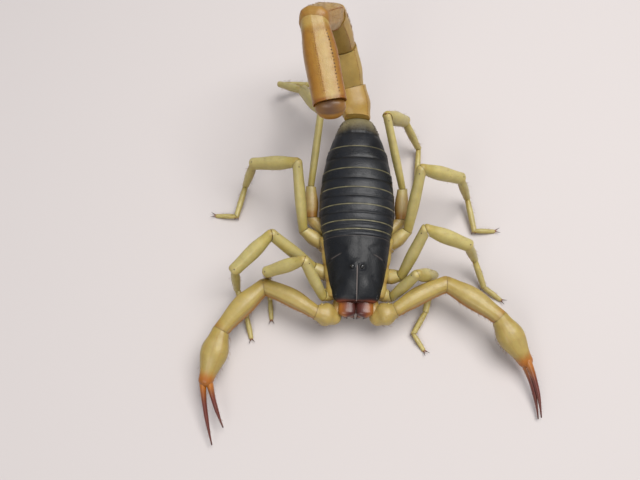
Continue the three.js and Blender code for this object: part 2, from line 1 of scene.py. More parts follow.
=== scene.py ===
"""A giant desert hairy scorpion, life size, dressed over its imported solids.

Every piece is modelled in millimetres about the trunk, with the head towards -Y and the rear margin
of the carapace at y = 0, and is then set down in metres in the frame of the solids.
"""

import logging
import math
from contextlib import contextmanager
from dataclasses import dataclass, field
from enum import Enum
from typing import Callable, Iterator, Sequence

import bpy
import numpy as np
from mathutils import Matrix, Vector
from numpy.random import Generator, default_rng


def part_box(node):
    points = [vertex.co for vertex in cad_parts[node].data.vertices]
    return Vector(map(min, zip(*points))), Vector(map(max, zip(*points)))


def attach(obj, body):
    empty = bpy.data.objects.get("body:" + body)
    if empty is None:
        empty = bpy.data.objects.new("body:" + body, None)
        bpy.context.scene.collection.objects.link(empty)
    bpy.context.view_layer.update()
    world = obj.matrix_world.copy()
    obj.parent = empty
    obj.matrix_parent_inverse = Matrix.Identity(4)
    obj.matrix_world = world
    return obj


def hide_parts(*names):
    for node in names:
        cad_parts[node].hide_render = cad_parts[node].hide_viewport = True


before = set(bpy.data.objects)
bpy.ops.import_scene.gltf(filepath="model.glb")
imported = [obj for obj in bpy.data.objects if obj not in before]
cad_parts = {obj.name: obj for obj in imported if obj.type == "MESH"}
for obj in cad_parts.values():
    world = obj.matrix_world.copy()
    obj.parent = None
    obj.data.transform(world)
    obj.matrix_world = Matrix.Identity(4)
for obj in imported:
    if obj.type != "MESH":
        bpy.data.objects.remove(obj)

LOG = logging.getLogger("scorpion")
MILLIMETRE = 0.001
HAIR_MAP = "OFBake"
HAIR_PATCH = 0.003
TINT = "tint"
UP = Vector((0, 0, 1))

Body = bpy.types.Object
Tree = bpy.types.NodeTree
Rows = np.ndarray
Pair = tuple[float, float]
Triple = tuple[float, float, float]
Spot = tuple[Vector, Vector, float]
Spots = Sequence[Spot]
Masks = tuple[Rows, Rows, Rows]
Painter = Callable[[Rows, Rows], Masks]


class Side(Enum):
    """The two sides of the animal. Its left is +X."""

    RIGHT = -1
    LEFT = 1

    @property
    def label(self) -> str:
        """The side's name as the solids use it."""
        return self.name.lower()


class Slot(Enum):
    """The record's material slot names that the pieces are handed with; nothing here reads them."""

    BLACK = "black_plate"
    DARK = "dark_brown"
    AMBER = "amber"
    STRAW = "straw"
    BELLY = "belly"
    RED = "red_brown"
    EYE = "eye"


# ---- small sums


def colour(code: str) -> tuple[float, float, float, float]:
    """Turns a web colour into linear light.

    Args:
        code: The colour, such as "#c8b872".

    Returns:
        Its red, green, blue and alpha.
    """
    parts = [int(code[i : i + 2], 16) / 255 for i in (1, 3, 5)]
    linear = [p / 12.92 if p <= 0.04045 else ((p + 0.055) / 1.055) ** 2.4 for p in parts]
    return (*linear, 1.0)


def toward(heading: float, pitch: float) -> Vector:
    """Unit vector of a heading and a pitch in degrees."""
    h, p = math.radians(heading), math.radians(pitch)
    return Vector((math.cos(p) * math.cos(h), math.cos(p) * math.sin(h), math.sin(p)))


def along_tail(pitch: float, lean: float) -> Vector:
    """Unit vector along the tail: the pitch runs on past upright, and the lean is sideways."""
    p, k = math.radians(pitch), math.radians(lean)
    return Vector((math.sin(k), math.cos(k) * math.cos(p), math.cos(k) * math.sin(p)))


def level_side(along: Vector) -> Vector:
    """A side vector across a limb, level with the floor."""
    return Vector((along.y, -along.x, 0)).normalized()


def tail_side(along: Vector) -> Vector:
    """A side vector across the tail, as near to +X as the tail allows."""
    return (Vector((1, 0, 0)) - along * along.x).normalized()


def swell(sizes: Triple, t: float, peak: float = 0.45) -> float:
    """Eases from the first to the second to the third size.

    Args:
        sizes: The three sizes.
        t: The share of the way, from 0 to 1.
        peak: The share at which the second size is reached.

    Returns:
        The size there.
    """
    t = min(max(t, 0.0), 1.0)
    edge = sizes[0] if t < peak else sizes[2]
    reach = (peak - t) / peak if t < peak else (t - peak) / (1 - peak)
    return sizes[1] + (edge - sizes[1]) * (1 - math.cos(math.pi * reach)) / 2


def step(low: float, high: float, value: Rows) -> Rows:
    """A smooth rise from 0 at low to 1 at high."""
    t = np.clip((value - low) / (high - low), 0, 1)
    return t * t * (3 - 2 * t)


def bump(centre: float, breadth: float, value: Rows) -> Rows:
    """A soft hill of height 1 about a centre."""
    return np.exp(-(((value - centre) / breadth) ** 2))


def near_angle(angle: Rows, centre: float, breadth: float) -> Rows:
    """A soft hill about a direction round a limb, in degrees."""
    off = (angle - centre + 180) % 360 - 180
    return np.exp(-((off / breadth) ** 2))


def mirrored(angle: float, side: Side) -> float:
    """The same place on the other side's limb."""
    return angle if side is Side.RIGHT else 180 - angle


# ---- the bench


class Bench:
    """Hand work on one mesh at a time, with the edit operators."""

    @staticmethod
    def only(body: Body) -> None:
        """Leaves nothing selected but this object."""
        bpy.ops.object.select_all(action="DESELECT")
        body.select_set(True)
        bpy.context.view_layer.objects.active = body

    @staticmethod
    @contextmanager
    def editing(body: Body, everything: bool = True) -> Iterator[None]:
        """Opens edit mode on an object for the length of a with block.

        Args:
            body: The object to edit.
            everything: Whether all of it starts selected, rather than none.
        """
        Bench.only(body)
        bpy.ops.object.mode_set(mode="EDIT")
        bpy.ops.mesh.select_all(action="SELECT" if everything else "DESELECT")
        yield
        bpy.ops.object.mode_set(mode="OBJECT")

    @staticmethod
    def primitive(add: Callable[..., object], **sizes: object) -> Body:
        """Adds a primitive with nothing else selected.

        Args:
            add: The operator that adds it.
            **sizes: Its sizes and its place.

        Returns:
            The new object.
        """
        bpy.ops.object.select_all(action="DESELECT")
        add(**sizes)
        return bpy.context.object

    @staticmethod
    def applied(body: Body, lie: Matrix | None = None) -> Body:
        """Writes an object's lie into its mesh.

        Args:
            body: The object.
            lie: Where it is laid first, or nowhere else where none is given.

        Returns:
            The object.
        """
        if lie is not None:
            body.matrix_world = lie
        Bench.only(body)
        bpy.ops.object.transform_apply(location=True, rotation=True, scale=True)
        return body

    @staticmethod
    def points(body: Body, what: str = "co") -> Rows:
        """The places of all the vertices, or their normals.

        Args:
            body: The object.
            what: What is read, "co" or "normal".

        Returns:
            One row for each vertex.
        """
        flat = np.empty(len(body.data.vertices) * 3, np.float32)
        body.data.vertices.foreach_get(what, flat)
        return flat.reshape(-1, 3).astype(float)

    @staticmethod
    def put(body: Body, places: Rows) -> None:
        """Moves all the vertices."""
        body.data.vertices.foreach_set("co", places.astype(np.float32).ravel())
        body.data.update()

    @staticmethod
    def swelled(body: Body, height: Rows) -> None:
        """Raises each vertex along its normal by its own height."""
        Bench.put(body, Bench.points(body) + Bench.points(body, "normal") * height[:, None])

    @staticmethod
    def refined(body: Body, levels: int = 1) -> None:
        """Rounds a mesh with a subdivision surface and applies it.

        Args:
            body: The object.
            levels: How often it is rounded.
        """
        Bench.only(body)
        modifier = body.modifiers.new("round", "SUBSURF")
        modifier.levels = modifier.render_levels = levels
        bpy.ops.object.modifier_apply(modifier=modifier.name)

    @staticmethod
    def tint(body: Body, warm: Rows, dark: Rows, pale: Rows) -> None:
        """Writes the marking masks of a skin into its tint attribute.

        Args:
            body: The skin.
            warm: How far each vertex is marked with the warm colour.
            dark: The same for the dark colour.
            pale: The same for the pale colour.
        """
        count = len(body.data.vertices)
        rows = np.ones((count, 4), np.float32)
        for index, mask in enumerate((warm, dark, pale)):
            rows[:, index] = np.clip(np.broadcast_to(mask, (count,)), 0, 1)
        known = body.data.attributes
        layer = known.get(TINT) or known.new(TINT, "FLOAT_COLOR", "POINT")
        layer.data.foreach_set("color", rows.ravel())

    @staticmethod
    def join(name: str, bodies: Sequence[Body]) -> Body:
        """Joins objects into one and names it.

        Args:
            name: The name of the joined object.
            bodies: The objects, of which the first keeps its place in the material list.

        Returns:
            The joined object.
        """
        Bench.only(bodies[0])
        for body in bodies:
            body.select_set(True)
        if len(bodies) > 1:
            bpy.ops.object.join()
        bodies[0].name = bodies[0].data.name = name
        return bodies[0]

    @staticmethod
    def cut(body: Body, point: Vector, normal: Vector, rim: float = 0.0) -> None:
        """Cuts away all that lies past a plane, and turns the cut's edge into a thin rim.

        Args:
            body: The object to cut.
            point: A point of the plane.
            normal: The plane's normal, which points to what is cut away.
            rim: The width of the rim, inside which the face sinks a little.
        """
        with Bench.editing(body):
            bpy.ops.mesh.bisect(
                plane_co=point, plane_no=normal, clear_outer=True, use_fill=True, threshold=1e-5
            )
            if rim > 0:
                bpy.ops.mesh.inset(thickness=rim)
                bpy.ops.transform.translate(value=normal * -rim)

    @staticmethod
    def mesh_of(name: str, places: Rows, faces: Sequence[Sequence[int]]) -> Body:
        """Makes an object of many small like shapes, laid out as one mesh.

        Args:
            name: The object's name.
            places: The vertices, one row each.
            faces: The faces, as lists of vertex numbers.

        Returns:
            The object, linked to the scene.
        """
        mesh = bpy.data.meshes.new(name)
        mesh.from_pydata(places.tolist(), [], faces)
        mesh.update()
        body = bpy.data.objects.new(name, mesh)
        bpy.context.scene.collection.objects.link(body)
        return body


# ---- sections and shells


@dataclass(frozen=True)
class Keel:
    """A ridge along a shell, at an angle round its section."""

    angle: float
    height: float = 0.05
    breadth: float = 9.0


@dataclass(frozen=True)
class Section:
    """The outline of a shell across its length: 0 degrees is to the left of its travel, 90 up."""

    sides: int = 20
    square: float = 2.0
    keels: tuple[Keel, ...] = ()
    underside: float = 1.0

    def radius(self, angle: Rows) -> Rows:
        """How far the outline reaches for a half width of 1.

        Args:
            angle: The directions in degrees.

        Returns:
            The reach in each direction.
        """
        turn, power = np.radians(angle), self.square
        reach = (np.abs(np.cos(turn)) ** power + np.abs(np.sin(turn)) ** power) ** (-1 / power)
        for keel in self.keels:
            reach = reach + keel.height * near_angle(angle, keel.angle, keel.breadth)
        return reach

    def outline(self, angle: Rows) -> Rows:
        """The points of the outline.

        Args:
            angle: The directions in degrees.

        Returns:
            One row for each direction.
        """
        reach = self.radius(angle)
        across = reach * np.cos(np.radians(angle))
        up = reach * np.sin(np.radians(angle))
        return np.stack([across, np.where(up < 0, up * self.underside, up)], -1)


@dataclass(frozen=True)
class Ring:
    """One ring of a shell: its place along the axis, half sizes and shift off the axis."""

    at: float
    wide: float
    high: float
    aside: float = 0.0
    up: float = 0.0


class Loft:
    """Draws a shell by extruding one disc from ring to ring."""

    @staticmethod
    def draw(name: str, section: Section, rings: Sequence[Ring], levels: int = 1) -> Body:
        """Draws the shell with its axis along +Z, its left along +X and its top along +Y.

        Args:
            name: The object's name.
            section: The outline that each ring is sized from.
            rings: The rings from the first to the last.
            levels: How often the shell is rounded afterwards.

        Returns:
            The shell, closed at both ends.
        """
        circle = bpy.ops.mesh.primitive_circle_add
        body = Bench.primitive(circle, vertices=section.sides, radius=1.0, fill_type="NGON")
        body.name = name
        angles = np.arange(section.sides) * 360.0 / section.sides
        trim = 1 if levels == 0 else 3 / (2 + math.cos(2 * math.pi / section.sides))
        Bench.put(body, np.column_stack([section.outline(angles) * trim, np.zeros(section.sides)]))
        with Bench.editing(body):
            Loft._raise(rings)
            bpy.ops.mesh.select_all(action="SELECT")
            bpy.ops.mesh.normals_make_consistent(inside=False)
        if levels:
            Bench.refined(body, levels)
        return body

    @staticmethod
    def _raise(rings: Sequence[Ring]) -> None:
        """Extrudes and sizes the selected disc through all the rings.

        Args:
            rings: The rings from the first to the last.
        """
        last = Ring(0.0, 1.0, 1.0)
        for index, ring in enumerate(rings):
            move = (ring.aside - last.aside, ring.up - last.up, ring.at - last.at)
            if index == 0:
                bpy.ops.transform.translate(value=move)
            else:
                bpy.ops.mesh.extrude_region_move(TRANSFORM_OT_translate={"value": move})
            bpy.ops.transform.resize(
                value=(ring.wide / last.wide, ring.high / last.high, 1),
                center_override=(ring.aside, ring.up, ring.at),
            )
            last = ring


def plain(t: Rows, angle: Rows) -> Masks:
    """No markings."""
    return 0 * t, 0 * t, 0 * t


@dataclass
class Segment:
    """A length of a limb between two joints, with round ends and a bowed axis if it is hooked."""

    name: str
    start: Vector
    along: Vector
    side: Vector
    length: float
    width: Triple
    depth: Triple
    section: Section = Section()
    peak: float = 0.45
    bluntness: float = 0.5
    hook: float = 0.0
    arch: float = 0.0
    rings: int = 9
    levels: int = 1
    paint: Painter = plain
    swellings: tuple[Triple, ...] = ()

    CAP_RINGS = (1.0, 0.72, 0.3)

    @property
    def end(self) -> Vector:
        """The far joint."""
        return self.start + self.along * self.length

    @property
    def top(self) -> Vector:
        """The direction of the segment's back."""
        return self.side.cross(self.along)

    @property
    def axes(self) -> Matrix:
        """Where the segment lies: its left, its top, its travel and its first joint."""
        rows = Matrix((-self.side, self.top, self.along)).transposed().to_4x4()
        return Matrix.Translation(self.start) @ rows

    def bow(self, t: Rows | float) -> Rows | float:
        """How far the axis is bowed to the left of its travel.

        Args:
            t: The share of the length.

        Returns:
            The shift to the left.
        """
        inside = np.clip(t, 0, 1)
        hooked = math.tan(math.radians(self.hook)) * self.length * inside**2 / 2
        return -hooked - self.arch * np.sin(math.pi * inside)

    def ring(self, t: float) -> Ring:
        """One ring of the shell.

        Args:
            t: The share of the length, where less than 0 or more than 1 is in an end cap.

        Returns:
            The ring.
        """
        inside = min(max(t, 0.0), 1.0)
        cap = 0.0 if 0 <= t <= 1 else min(1.0, abs(t - inside) * self.length / self._cap(t < 0))
        shrink = math.sqrt(max(1 - cap * cap, 0.02))
        hills = (rise * math.exp(-(((inside - at) / broad) ** 2)) for at, broad, rise in self.swellings)
        grow = 1 + sum(hills)
        wide = swell(self.width, inside, self.peak) / 2 * shrink * grow
        high = swell(self.depth, inside, self.peak) / 2 * shrink * grow
        return Ring(t * self.length, wide, high, float(self.bow(t)))

    def _cap(self, first: bool) -> float:
        """The length of an end cap."""
        end = 0 if first else 2
        return max(self.bluntness * min(self.width[end], self.depth[end]), 0.02)

    def build(self) -> Body:
        """Draws the shell, marks it and lays it along the limb.

        Returns:
            The shell as an object.
        """
        before, after = self._cap(True) / self.length, self._cap(False) / self.length
        inner = [i / self.rings for i in range(self.rings + 1)]
        spots = [-before * share for share in self.CAP_RINGS]
        spots += [*inner, *(1 + after * share for share in reversed(self.CAP_RINGS))]
        body = Loft.draw(self.name, self.section, [self.ring(t) for t in spots], self.levels)
        places = Bench.points(body)
        t = places[:, 2] / self.length
        angle = np.degrees(np.arctan2(places[:, 1], places[:, 0] - self.bow(t))) % 360
        Bench.tint(body, *self.paint(t, angle))
        return Bench.applied(body, self.axes)

    def surface(self, t: float, angle: float) -> tuple[Vector, Vector]:
        """A place on the shell and the way out from it.

        Args:
            t: The share of the length.
            angle: The direction round the shell in degrees.

        Returns:
            The point and the outward unit vector.
        """
        ring = self.ring(t)
        across, up = self.section.outline(np.array([angle]))[0]
        left = -self.side
        middle = self.start + self.along * ring.at
        point = middle + left * (across * ring.wide + ring.aside) + self.top * up * ring.high
        out = left * across / max(ring.wide, 1e-3) + self.top * up / max(ring.high, 1e-3)
        return point, out.normalized()


def parted(bodies: Sequence[Body], line: Sequence[Segment], gap: float, rim: float,
           shifts: Sequence[float] = ()) -> None:
    """Parts the neighbouring shells of a limb by thin cuts through its bends.

    Args:
        bodies: The shells.
        line: The segments that they were drawn from.
        gap: The width of each cut.
        rim: The width of the rim round each cut face.
        shifts: How far past each joint its cut lies.
    """
    for index, (first, second) in enumerate(zip(line, line[1:])):
        bend = (first.along + second.along).normalized()
        shift = shifts[index] if shifts else 0.0
        Bench.cut(bodies[index], first.end + bend * (shift - gap / 2), bend, rim)
        Bench.cut(bodies[index + 1], first.end + bend * (shift + gap / 2), -bend, rim)


def chain(start: Vector, segments: Sequence[Segment]) -> list[Segment]:
    """Sets each segment's start to the end of the one before it.

    Args:
        start: The first joint.
        segments: The segments in order.

    Returns:
        The same segments.
    """
    for one in segments:
        one.start = start
        start = one.end
    return list(segments)


# ---- grains and hairs


class Bead:
    """A low grain that is modelled once and copied many times over."""

    _shape: tuple[Rows, list[list[int]]] | None = None

    @classmethod
    def shape(cls) -> tuple[Rows, list[list[int]]]:
        """Models the grain the first time it is asked for.

        Returns:
            Its points and faces, for a radius of 1.
        """
        if cls._shape is None:
            body = Bench.primitive(bpy.ops.mesh.primitive_ico_sphere_add, subdivisions=1, radius=1.0)
            with Bench.editing(body):
                bpy.ops.transform.resize(value=(1, 1, 0.8))
            cls._shape = (Bench.points(body), [list(face.vertices) for face in body.data.polygons])
            bpy.data.objects.remove(body)
        return cls._shape

    @classmethod
    def strew(cls, name: str, spots: Spots) -> Body:
        """Sets a grain at each spot.

        Args:
            name: The name of the joined grains.
            spots: The place, outward way and radius of each grain.

        Returns:
            One object of all the grains.
        """
        points, faces = cls.shape()
        all_points, all_faces = [], []
        for index, (place, out, radius) in enumerate(spots):
            turn = np.array(out.to_track_quat("Z", "Y").to_matrix())
            all_points.append(points @ turn.T * radius + np.array(place))
            all_faces.extend([[corner + index * len(points) for corner in face] for face in faces])
        return Bench.mesh_of(name, np.concatenate(all_points), all_faces)


@dataclass(frozen=True)
class KeelRow:
    """A row of grains along one keel of a segment."""

    angle: float
    first: float = 0.08
    last: float = 0.92
    spacing: float = 0.34
    radius: float = 0.11

    def spots(self, host: Segment, rng: Generator) -> list[Spot]:
        """The grains' places on a segment, a little uneven.

        Args:
            host: The segment that carries the row.
            rng: The source of unevenness.

        Returns:
            The place, outward way and radius of each grain.
        """
        count = max(2, int(host.length * (self.last - self.first) / self.spacing))
        rows = []
        for t in np.linspace(self.first, self.last, count):
            at = float(t + rng.normal(0, 0.001))
            place, out = host.surface(at, self.angle + float(rng.normal(0, 0.7)))
            size = self.radius * float(rng.uniform(0.75, 1.2))
            rows.append((place - out * size * 0.3, out, size))
        return rows


class Coat:
    """The bristles of one part of the body, as thin solid spikes that lie towards the limb's tip."""

    SIDES = 3
    LEVELS = (0.0, 0.4, 0.75)
    TILES = 8

    def __init__(self, name: str, seed: int) -> None:
        """Starts an empty coat.

        Args:
            name: The name of the piece.
            seed: Fixes the unevenness of the coat.
        """
        self.name = name
        self.rng = default_rng(seed)
        self.points: list[Rows] = []
        self.patches: list[tuple[float, float]] = []
        self.tiles = 0

    def grow(self, host: Segment, count: int, length: tuple[float, float], thick: float = 0.05,
             span: tuple[float, float] = (0.06, 0.94), angles: Sequence[float] = (), spread: float = 12.0,
             lean: float = 0.7, rise: float = 1.0) -> None:
        """Plants bristles on a segment.

        Args:
            host: The segment.
            count: How many bristles.
            length: The shortest and the longest bristle.
            thick: The thickness at the root.
            span: The share of the segment's length that they stand on.
            angles: The rows that they stand in, or all round where none are given.
            spread: How far they stray from a row, in degrees.
            lean: How far they lie over towards the tip.
            rise: How far they stand off the skin.
        """
        tile = self.tiles
        self.tiles += 1
        for _ in range(count):
            t = float(self.rng.uniform(*span))
            angle = float(self.rng.uniform(0, 360))
            if len(angles):
                angle = float(self.rng.choice(angles)) + float(self.rng.normal(0, spread))
            place, out = host.surface(t, angle)
            reach = float(self.rng.uniform(*length)) * float(self.rng.uniform(0.55, 1.0))
            jitter = Vector(self.rng.normal(0, 0.18, 3))
            way = (out + jitter).normalized() * rise
            self._bristle(place - out * 0.05, way, host.along * lean, reach, thick)
            column, row = tile % self.TILES, tile // self.TILES
            around = angle % 360 / 360 * 0.96
            self.patches.append(((column + around) / self.TILES, (row + t * 0.9 + 0.03) / self.TILES))

    def _bristle(self, root: Vector, out: Vector, lie: Vector, reach: float, thick: float) -> None:
        """Adds one curved, tapering bristle.

        Args:
            root: Where it stands.
            out: The way it rises.
            lie: The way it lies over.
            reach: Its length.
            thick: Its thickness at the root.
        """
        across = out.cross(lie if lie.length > 1e-3 else UP)
        across = (across if across.length > 1e-4 else out.orthogonal()).normalized()
        other = (out * 0.6 + lie).cross(across).normalized()
        rows = []
        for level in self.LEVELS:
            middle = root + out * reach * level * (1 - 0.35 * level) + lie * reach * level * level
            radius = thick / 2 * (1 - 0.65 * level)
            for turn in range(self.SIDES):
                a = 2 * math.pi * turn / self.SIDES
                rows.append(middle + across * radius * math.cos(a) + other * radius * math.sin(a))
        rows.append(root + out * reach * 0.65 + lie * reach)
        self.points.append(np.array(rows))

    def build(self) -> Body:
        """Joins the bristles and maps each to its own small patch.

        Returns:
            The coat as one object.
        """
        sides, rings, each = self.SIDES, len(self.LEVELS), self.SIDES * len(self.LEVELS) + 1
        pattern = []
        for ring in range(rings - 1):
            for turn in range(sides):
                after = (turn + 1) % sides
                low, high = ring * sides, (ring + 1) * sides
                pattern.append([low + turn, low + after, high + after, high + turn])
        tip = each - 1
        high = (rings - 1) * sides
        pattern += [[high + turn, high + (turn + 1) % sides, tip] for turn in range(sides)]
        pattern.append([2, 1, 0])
        starts = range(0, len(self.points) * each, each)
        faces = [[corner + start for corner in face] for start in starts for face in pattern]
        places = np.concatenate(self.points)
        places[:, 2] = np.maximum(places[:, 2], 0.02)
        body = Bench.mesh_of(self.name, places, faces)
        with Bench.editing(body):
            bpy.ops.mesh.normals_make_consistent(inside=False)
        self._map(body, each)
        count = len(body.data.vertices)
        level = np.tile(np.repeat([*self.LEVELS, 1.0], [sides] * rings + [1]), len(self.points))
        Bench.tint(body, level, np.zeros(count), np.zeros(count))
        return body

    def _map(self, body: Body, each: int) -> None:
        """Lays each bristle's faces in a patch at its root's place on the unrolled skin.

        Args:
            body: The coat.
            each: How many vertices a bristle has.
        """
        layer = body.data.uv_layers.new(name=HAIR_MAP)
        corner = np.empty(len(body.data.loops), np.int32)
        body.data.loops.foreach_get("vertex_index", corner)
        patch = np.array(self.patches)[corner // each]
        place = corner % each
        turn = (place % self.SIDES) / self.SIDES
        level = (place // self.SIDES) / len(self.LEVELS)
        uv = patch + np.column_stack([turn, level]) * HAIR_PATCH
        layer.data.foreach_set("uv", np.clip(uv, 0, 1).astype(np.float32).ravel())


# ---- finishes


def wired(tree: Tree, kind: str, given: dict, out: int | str = 0, **choices: object) -> bpy.types.NodeSocket:
    """Adds a shader node to a tree.

    Args:
        tree: The tree.
        kind: The node's kind, without the ShaderNode before it.
        given: What each input gets, an output to link to or a value.
        out: The output that is wanted.
        **choices: The node's own settings.

    Returns:
        The wanted output.
    """
    made = tree.nodes.new("ShaderNode" + kind)
    for name, value in choices.items():
        setattr(made, name, value)
    for key, value in given.items():
        if isinstance(value, bpy.types.NodeSocket):
            tree.links.new(value, made.inputs[key])
        else:
            made.inputs[key].default_value = value
    return made.outputs[out]


class Groups:
    """The shader node groups that several finishes share."""

    GREY = (0.5, 0.5, 0.5, 1)
    CLOUD_RATE = 900
    CLOUD_RANGE = {1: 0.3, 2: 0.7}

    @staticmethod
    def _new(name: str, given: dict[str, object], made: dict[str, object]) -> Tree:
        """Makes an empty group with its sockets.

        Args:
            name: The group's name.
            given: The inputs with their default values, where a colour is a tuple.
            made: The outputs, each with a value of its kind.

        Returns:
            The group.
        """
        tree = bpy.data.node_groups.new(name, "ShaderNodeTree")
        for way, sockets in (("INPUT", given), ("OUTPUT", made)):
            for label, value in sockets.items():
                kind = "NodeSocketColor" if isinstance(value, tuple) else "NodeSocketFloat"
                tree.interface.new_socket(label, in_out=way, socket_type=kind).default_value = value
        return tree

    @staticmethod
    def _ends(tree: Tree) -> tuple[object, object, object]:
        """Adds a group's two ends.

        Args:
            tree: The group.

        Returns:
            What it is given, what it makes, and the place on the object.
        """
        given, made = tree.nodes.new("NodeGroupInput"), tree.nodes.new("NodeGroupOutput")
        return given.outputs, made.inputs, wired(tree, "TexCoord", {}, out="Object")

    @staticmethod
    def _sum(tree: Tree, operation: str, first: object, second: object) -> object:
        """Adds a sum of two values and returns its output."""
        return wired(tree, "Math", {0: first, 1: second}, operation=operation)

    @staticmethod
    def _mix(tree: Tree, factor: object, first: object, second: object) -> object:
        """Adds a colour mix and returns its output."""
        return wired(tree, "Mix", {0: factor, 6: first, 7: second}, out=2, data_type="RGBA")

    @classmethod
    def markings(cls) -> Tree:
        """Makes the group that lays warm, pale and dark markings and a soft mottle over a ground colour.

        Returns:
            The group, made the first time it is asked for.
        """
        name = "Cuticle Markings"
        if name in bpy.data.node_groups:
            return bpy.data.node_groups[name]
        inputs = {label: cls.GREY for label in ("Ground", "Warm", "Pale", "Dark")}
        tree = cls._new(name, inputs | {"Mottle": 0.2, "Mottle Size": 0.001}, {"Color": cls.GREY})
        given, made, place = cls._ends(tree)
        tint = wired(tree, "Attribute", {}, out="Color", attribute_name=TINT)
        masks = wired(tree, "SeparateColor", {0: tint}).node.outputs
        rate = cls._sum(tree, "DIVIDE", 1, given["Mottle Size"])
        clouds = wired(tree, "TexNoise", {"Vector": place, "Scale": rate, "Detail": 4}, out="Fac")
        spread = wired(tree, "MapRange", {0: clouds, 3: 0.0, 4: 1.0, **cls.CLOUD_RANGE})
        strength = cls._sum(tree, "MULTIPLY", spread, given["Mottle"])
        warmed = cls._mix(tree, masks[0], given["Ground"], given["Warm"])
        paled = cls._mix(tree, masks[2], warmed, given["Pale"])
        darkened = cls._mix(tree, masks[1], paled, given["Dark"])
        deeper = cls._mix(tree, 0.55, darkened, given["Dark"])
        tree.links.new(cls._mix(tree, strength, darkened, deeper), made["Color"])
        return tree

    @classmethod
    def relief(cls) -> Tree:
        """Makes the group that gives the height of fine grain and pits, and a mask of worn, duller skin.

        Returns:
            The group, made the first time it is asked for.
        """
        name = "Cuticle Relief"
        if name in bpy.data.node_groups:
            return bpy.data.node_groups[name]
        inputs = {"Grain Size": 0.0002, "Grain": 1.0, "Waves": 0.3}
        tree = cls._new(name, inputs, {"Height": 0.0, "Wear": 0.0})
        given, made, place = cls._ends(tree)
        lie = {"Vector": place, "Scale": cls._sum(tree, "DIVIDE", 1, given["Grain Size"])}
        cells = wired(tree, "TexVoronoi", lie, out="Distance", feature="SMOOTH_F1")
        clouds = wired(tree, "TexNoise", {"Vector": place, "Scale": cls.CLOUD_RATE, "Detail": 5}, out="Fac")
        waves = cls._sum(tree, "MULTIPLY", clouds, given["Waves"])
        grain = cls._sum(tree, "MULTIPLY", cells, given["Grain"])
        tree.links.new(cls._sum(tree, "SUBTRACT", waves, grain), made["Height"])
        tree.links.new(clouds, made["Wear"])
        return tree


@dataclass(frozen=True)
class Cuticle:
    """A finish of the outer skeleton: its colours, markings, grain and gloss."""

    name: str
    ground: str
    warm: str
    pale: str
    dark: str
    roughness: tuple[float, float] = (0.38, 0.55)
    gloss: float = 0.25
    shine: float = 0.5
    glow: float = 0.0
    mottle: float = 0.25
    mottle_size: float = 0.0014
    grain_size: float = 0.00022
    grain: float = 0.6
    waves: float = 0.4
    relief: float = 0.00003

    COAT_ROUGHNESS = 0.18
    GLOW_RADIUS = (1.0, 0.6, 0.25)
    GLOW_SCALE = 0.0009

    def material(self) -> bpy.types.Material:
        """The finish as a material.

        Returns:
            The material, made the first time it is asked for.
        """
        if self.name in bpy.data.materials:
            return bpy.data.materials[self.name]
        made = bpy.data.materials.new(self.name)
        made.use_nodes = True
        tree = made.node_tree
        shader = tree.nodes["Principled BSDF"].inputs
        shader["Coat Weight"].default_value = self.gloss
        shader["Coat Roughness"].default_value = self.COAT_ROUGHNESS
        shader["Specular IOR Level"].default_value = self.shine
        shader["Subsurface Weight"].default_value = self.glow
        shader["Subsurface Radius"].default_value = self.GLOW_RADIUS
        shader["Subsurface Scale"].default_value = self.GLOW_SCALE
        labels = ("Ground", "Warm", "Pale", "Dark")
        colours = {label: colour(getattr(self, label.lower())) for label in labels}
        colours |= {"Mottle": self.mottle, "Mottle Size": self.mottle_size}
        marks = wired(tree, "Group", colours, out="Color", node_tree=Groups.markings())
        tree.links.new(marks, shader["Base Color"])
        grains = {"Grain Size": self.grain_size, "Grain": self.grain, "Waves": self.waves}
        height = wired(tree, "Group", grains, out="Height", node_tree=Groups.relief())
        low, high = self.roughness
        wear = {0: height.node.outputs["Wear"], 3: low, 4: high, **Groups.CLOUD_RANGE}
        tree.links.new(wired(tree, "MapRange", wear), shader["Roughness"])
        raised = {"Strength": 1.0, "Distance": self.relief, "Height": height}
        tree.links.new(wired(tree, "Bump", raised, out="Normal"), shader["Normal"])
        return made


HEAD_PLATE = Cuticle(
    "head plate", "#14161a", "#7a3a1e", "#93857f", "#08090b", roughness=(0.36, 0.5), gloss=0.06,
    shine=0.3, mottle=0.5, mottle_size=0.0022, grain_size=0.0002, grain=0.7, waves=0.5, relief=0.00005,
)
BLACK_PLATE = Cuticle(
    "black plate", "#171a20", "#5e4a34", "#98916a", "#090a0d", roughness=(0.36, 0.52), gloss=0.12,
    shine=0.4, mottle=0.5, mottle_size=0.0018, grain_size=0.0002, grain=0.9, waves=0.5, relief=0.00005,
)
STRAW = Cuticle(
    "straw cuticle", "#b7a75c", "#9a6a20", "#cfc389", "#3f2414", roughness=(0.36, 0.56), gloss=0.2,
    glow=0.25, mottle=0.34, waves=0.9, relief=0.00005,
)
ARM = Cuticle(
    "arm cuticle", "#ac964c", "#ad6614", "#c1ae70", "#4a2412", roughness=(0.36, 0.56), gloss=0.2,
    glow=0.25, mottle=0.32, waves=0.9, relief=0.00005,
)
AMBER = Cuticle(
    "amber cuticle", "#a67e2a", "#955a10", "#b59b58", "#43200f", roughness=(0.38, 0.56), gloss=0.18,
    glow=0.2, mottle=0.3, waves=0.8, relief=0.00005,
)
BULB = Cuticle(
    "bulb cuticle", "#9f7a2c", "#a56b1c", "#b59558", "#64452f", roughness=(0.36, 0.52), gloss=0.2,
    glow=0.15, mottle=0.3,
)
RED_BROWN = Cuticle(
    "red brown horn", "#6e2b1b", "#b8701f", "#c08a4a", "#2b0f09", roughness=(0.3, 0.45), gloss=0.3,
    mottle=0.35, grain=0.4,
)
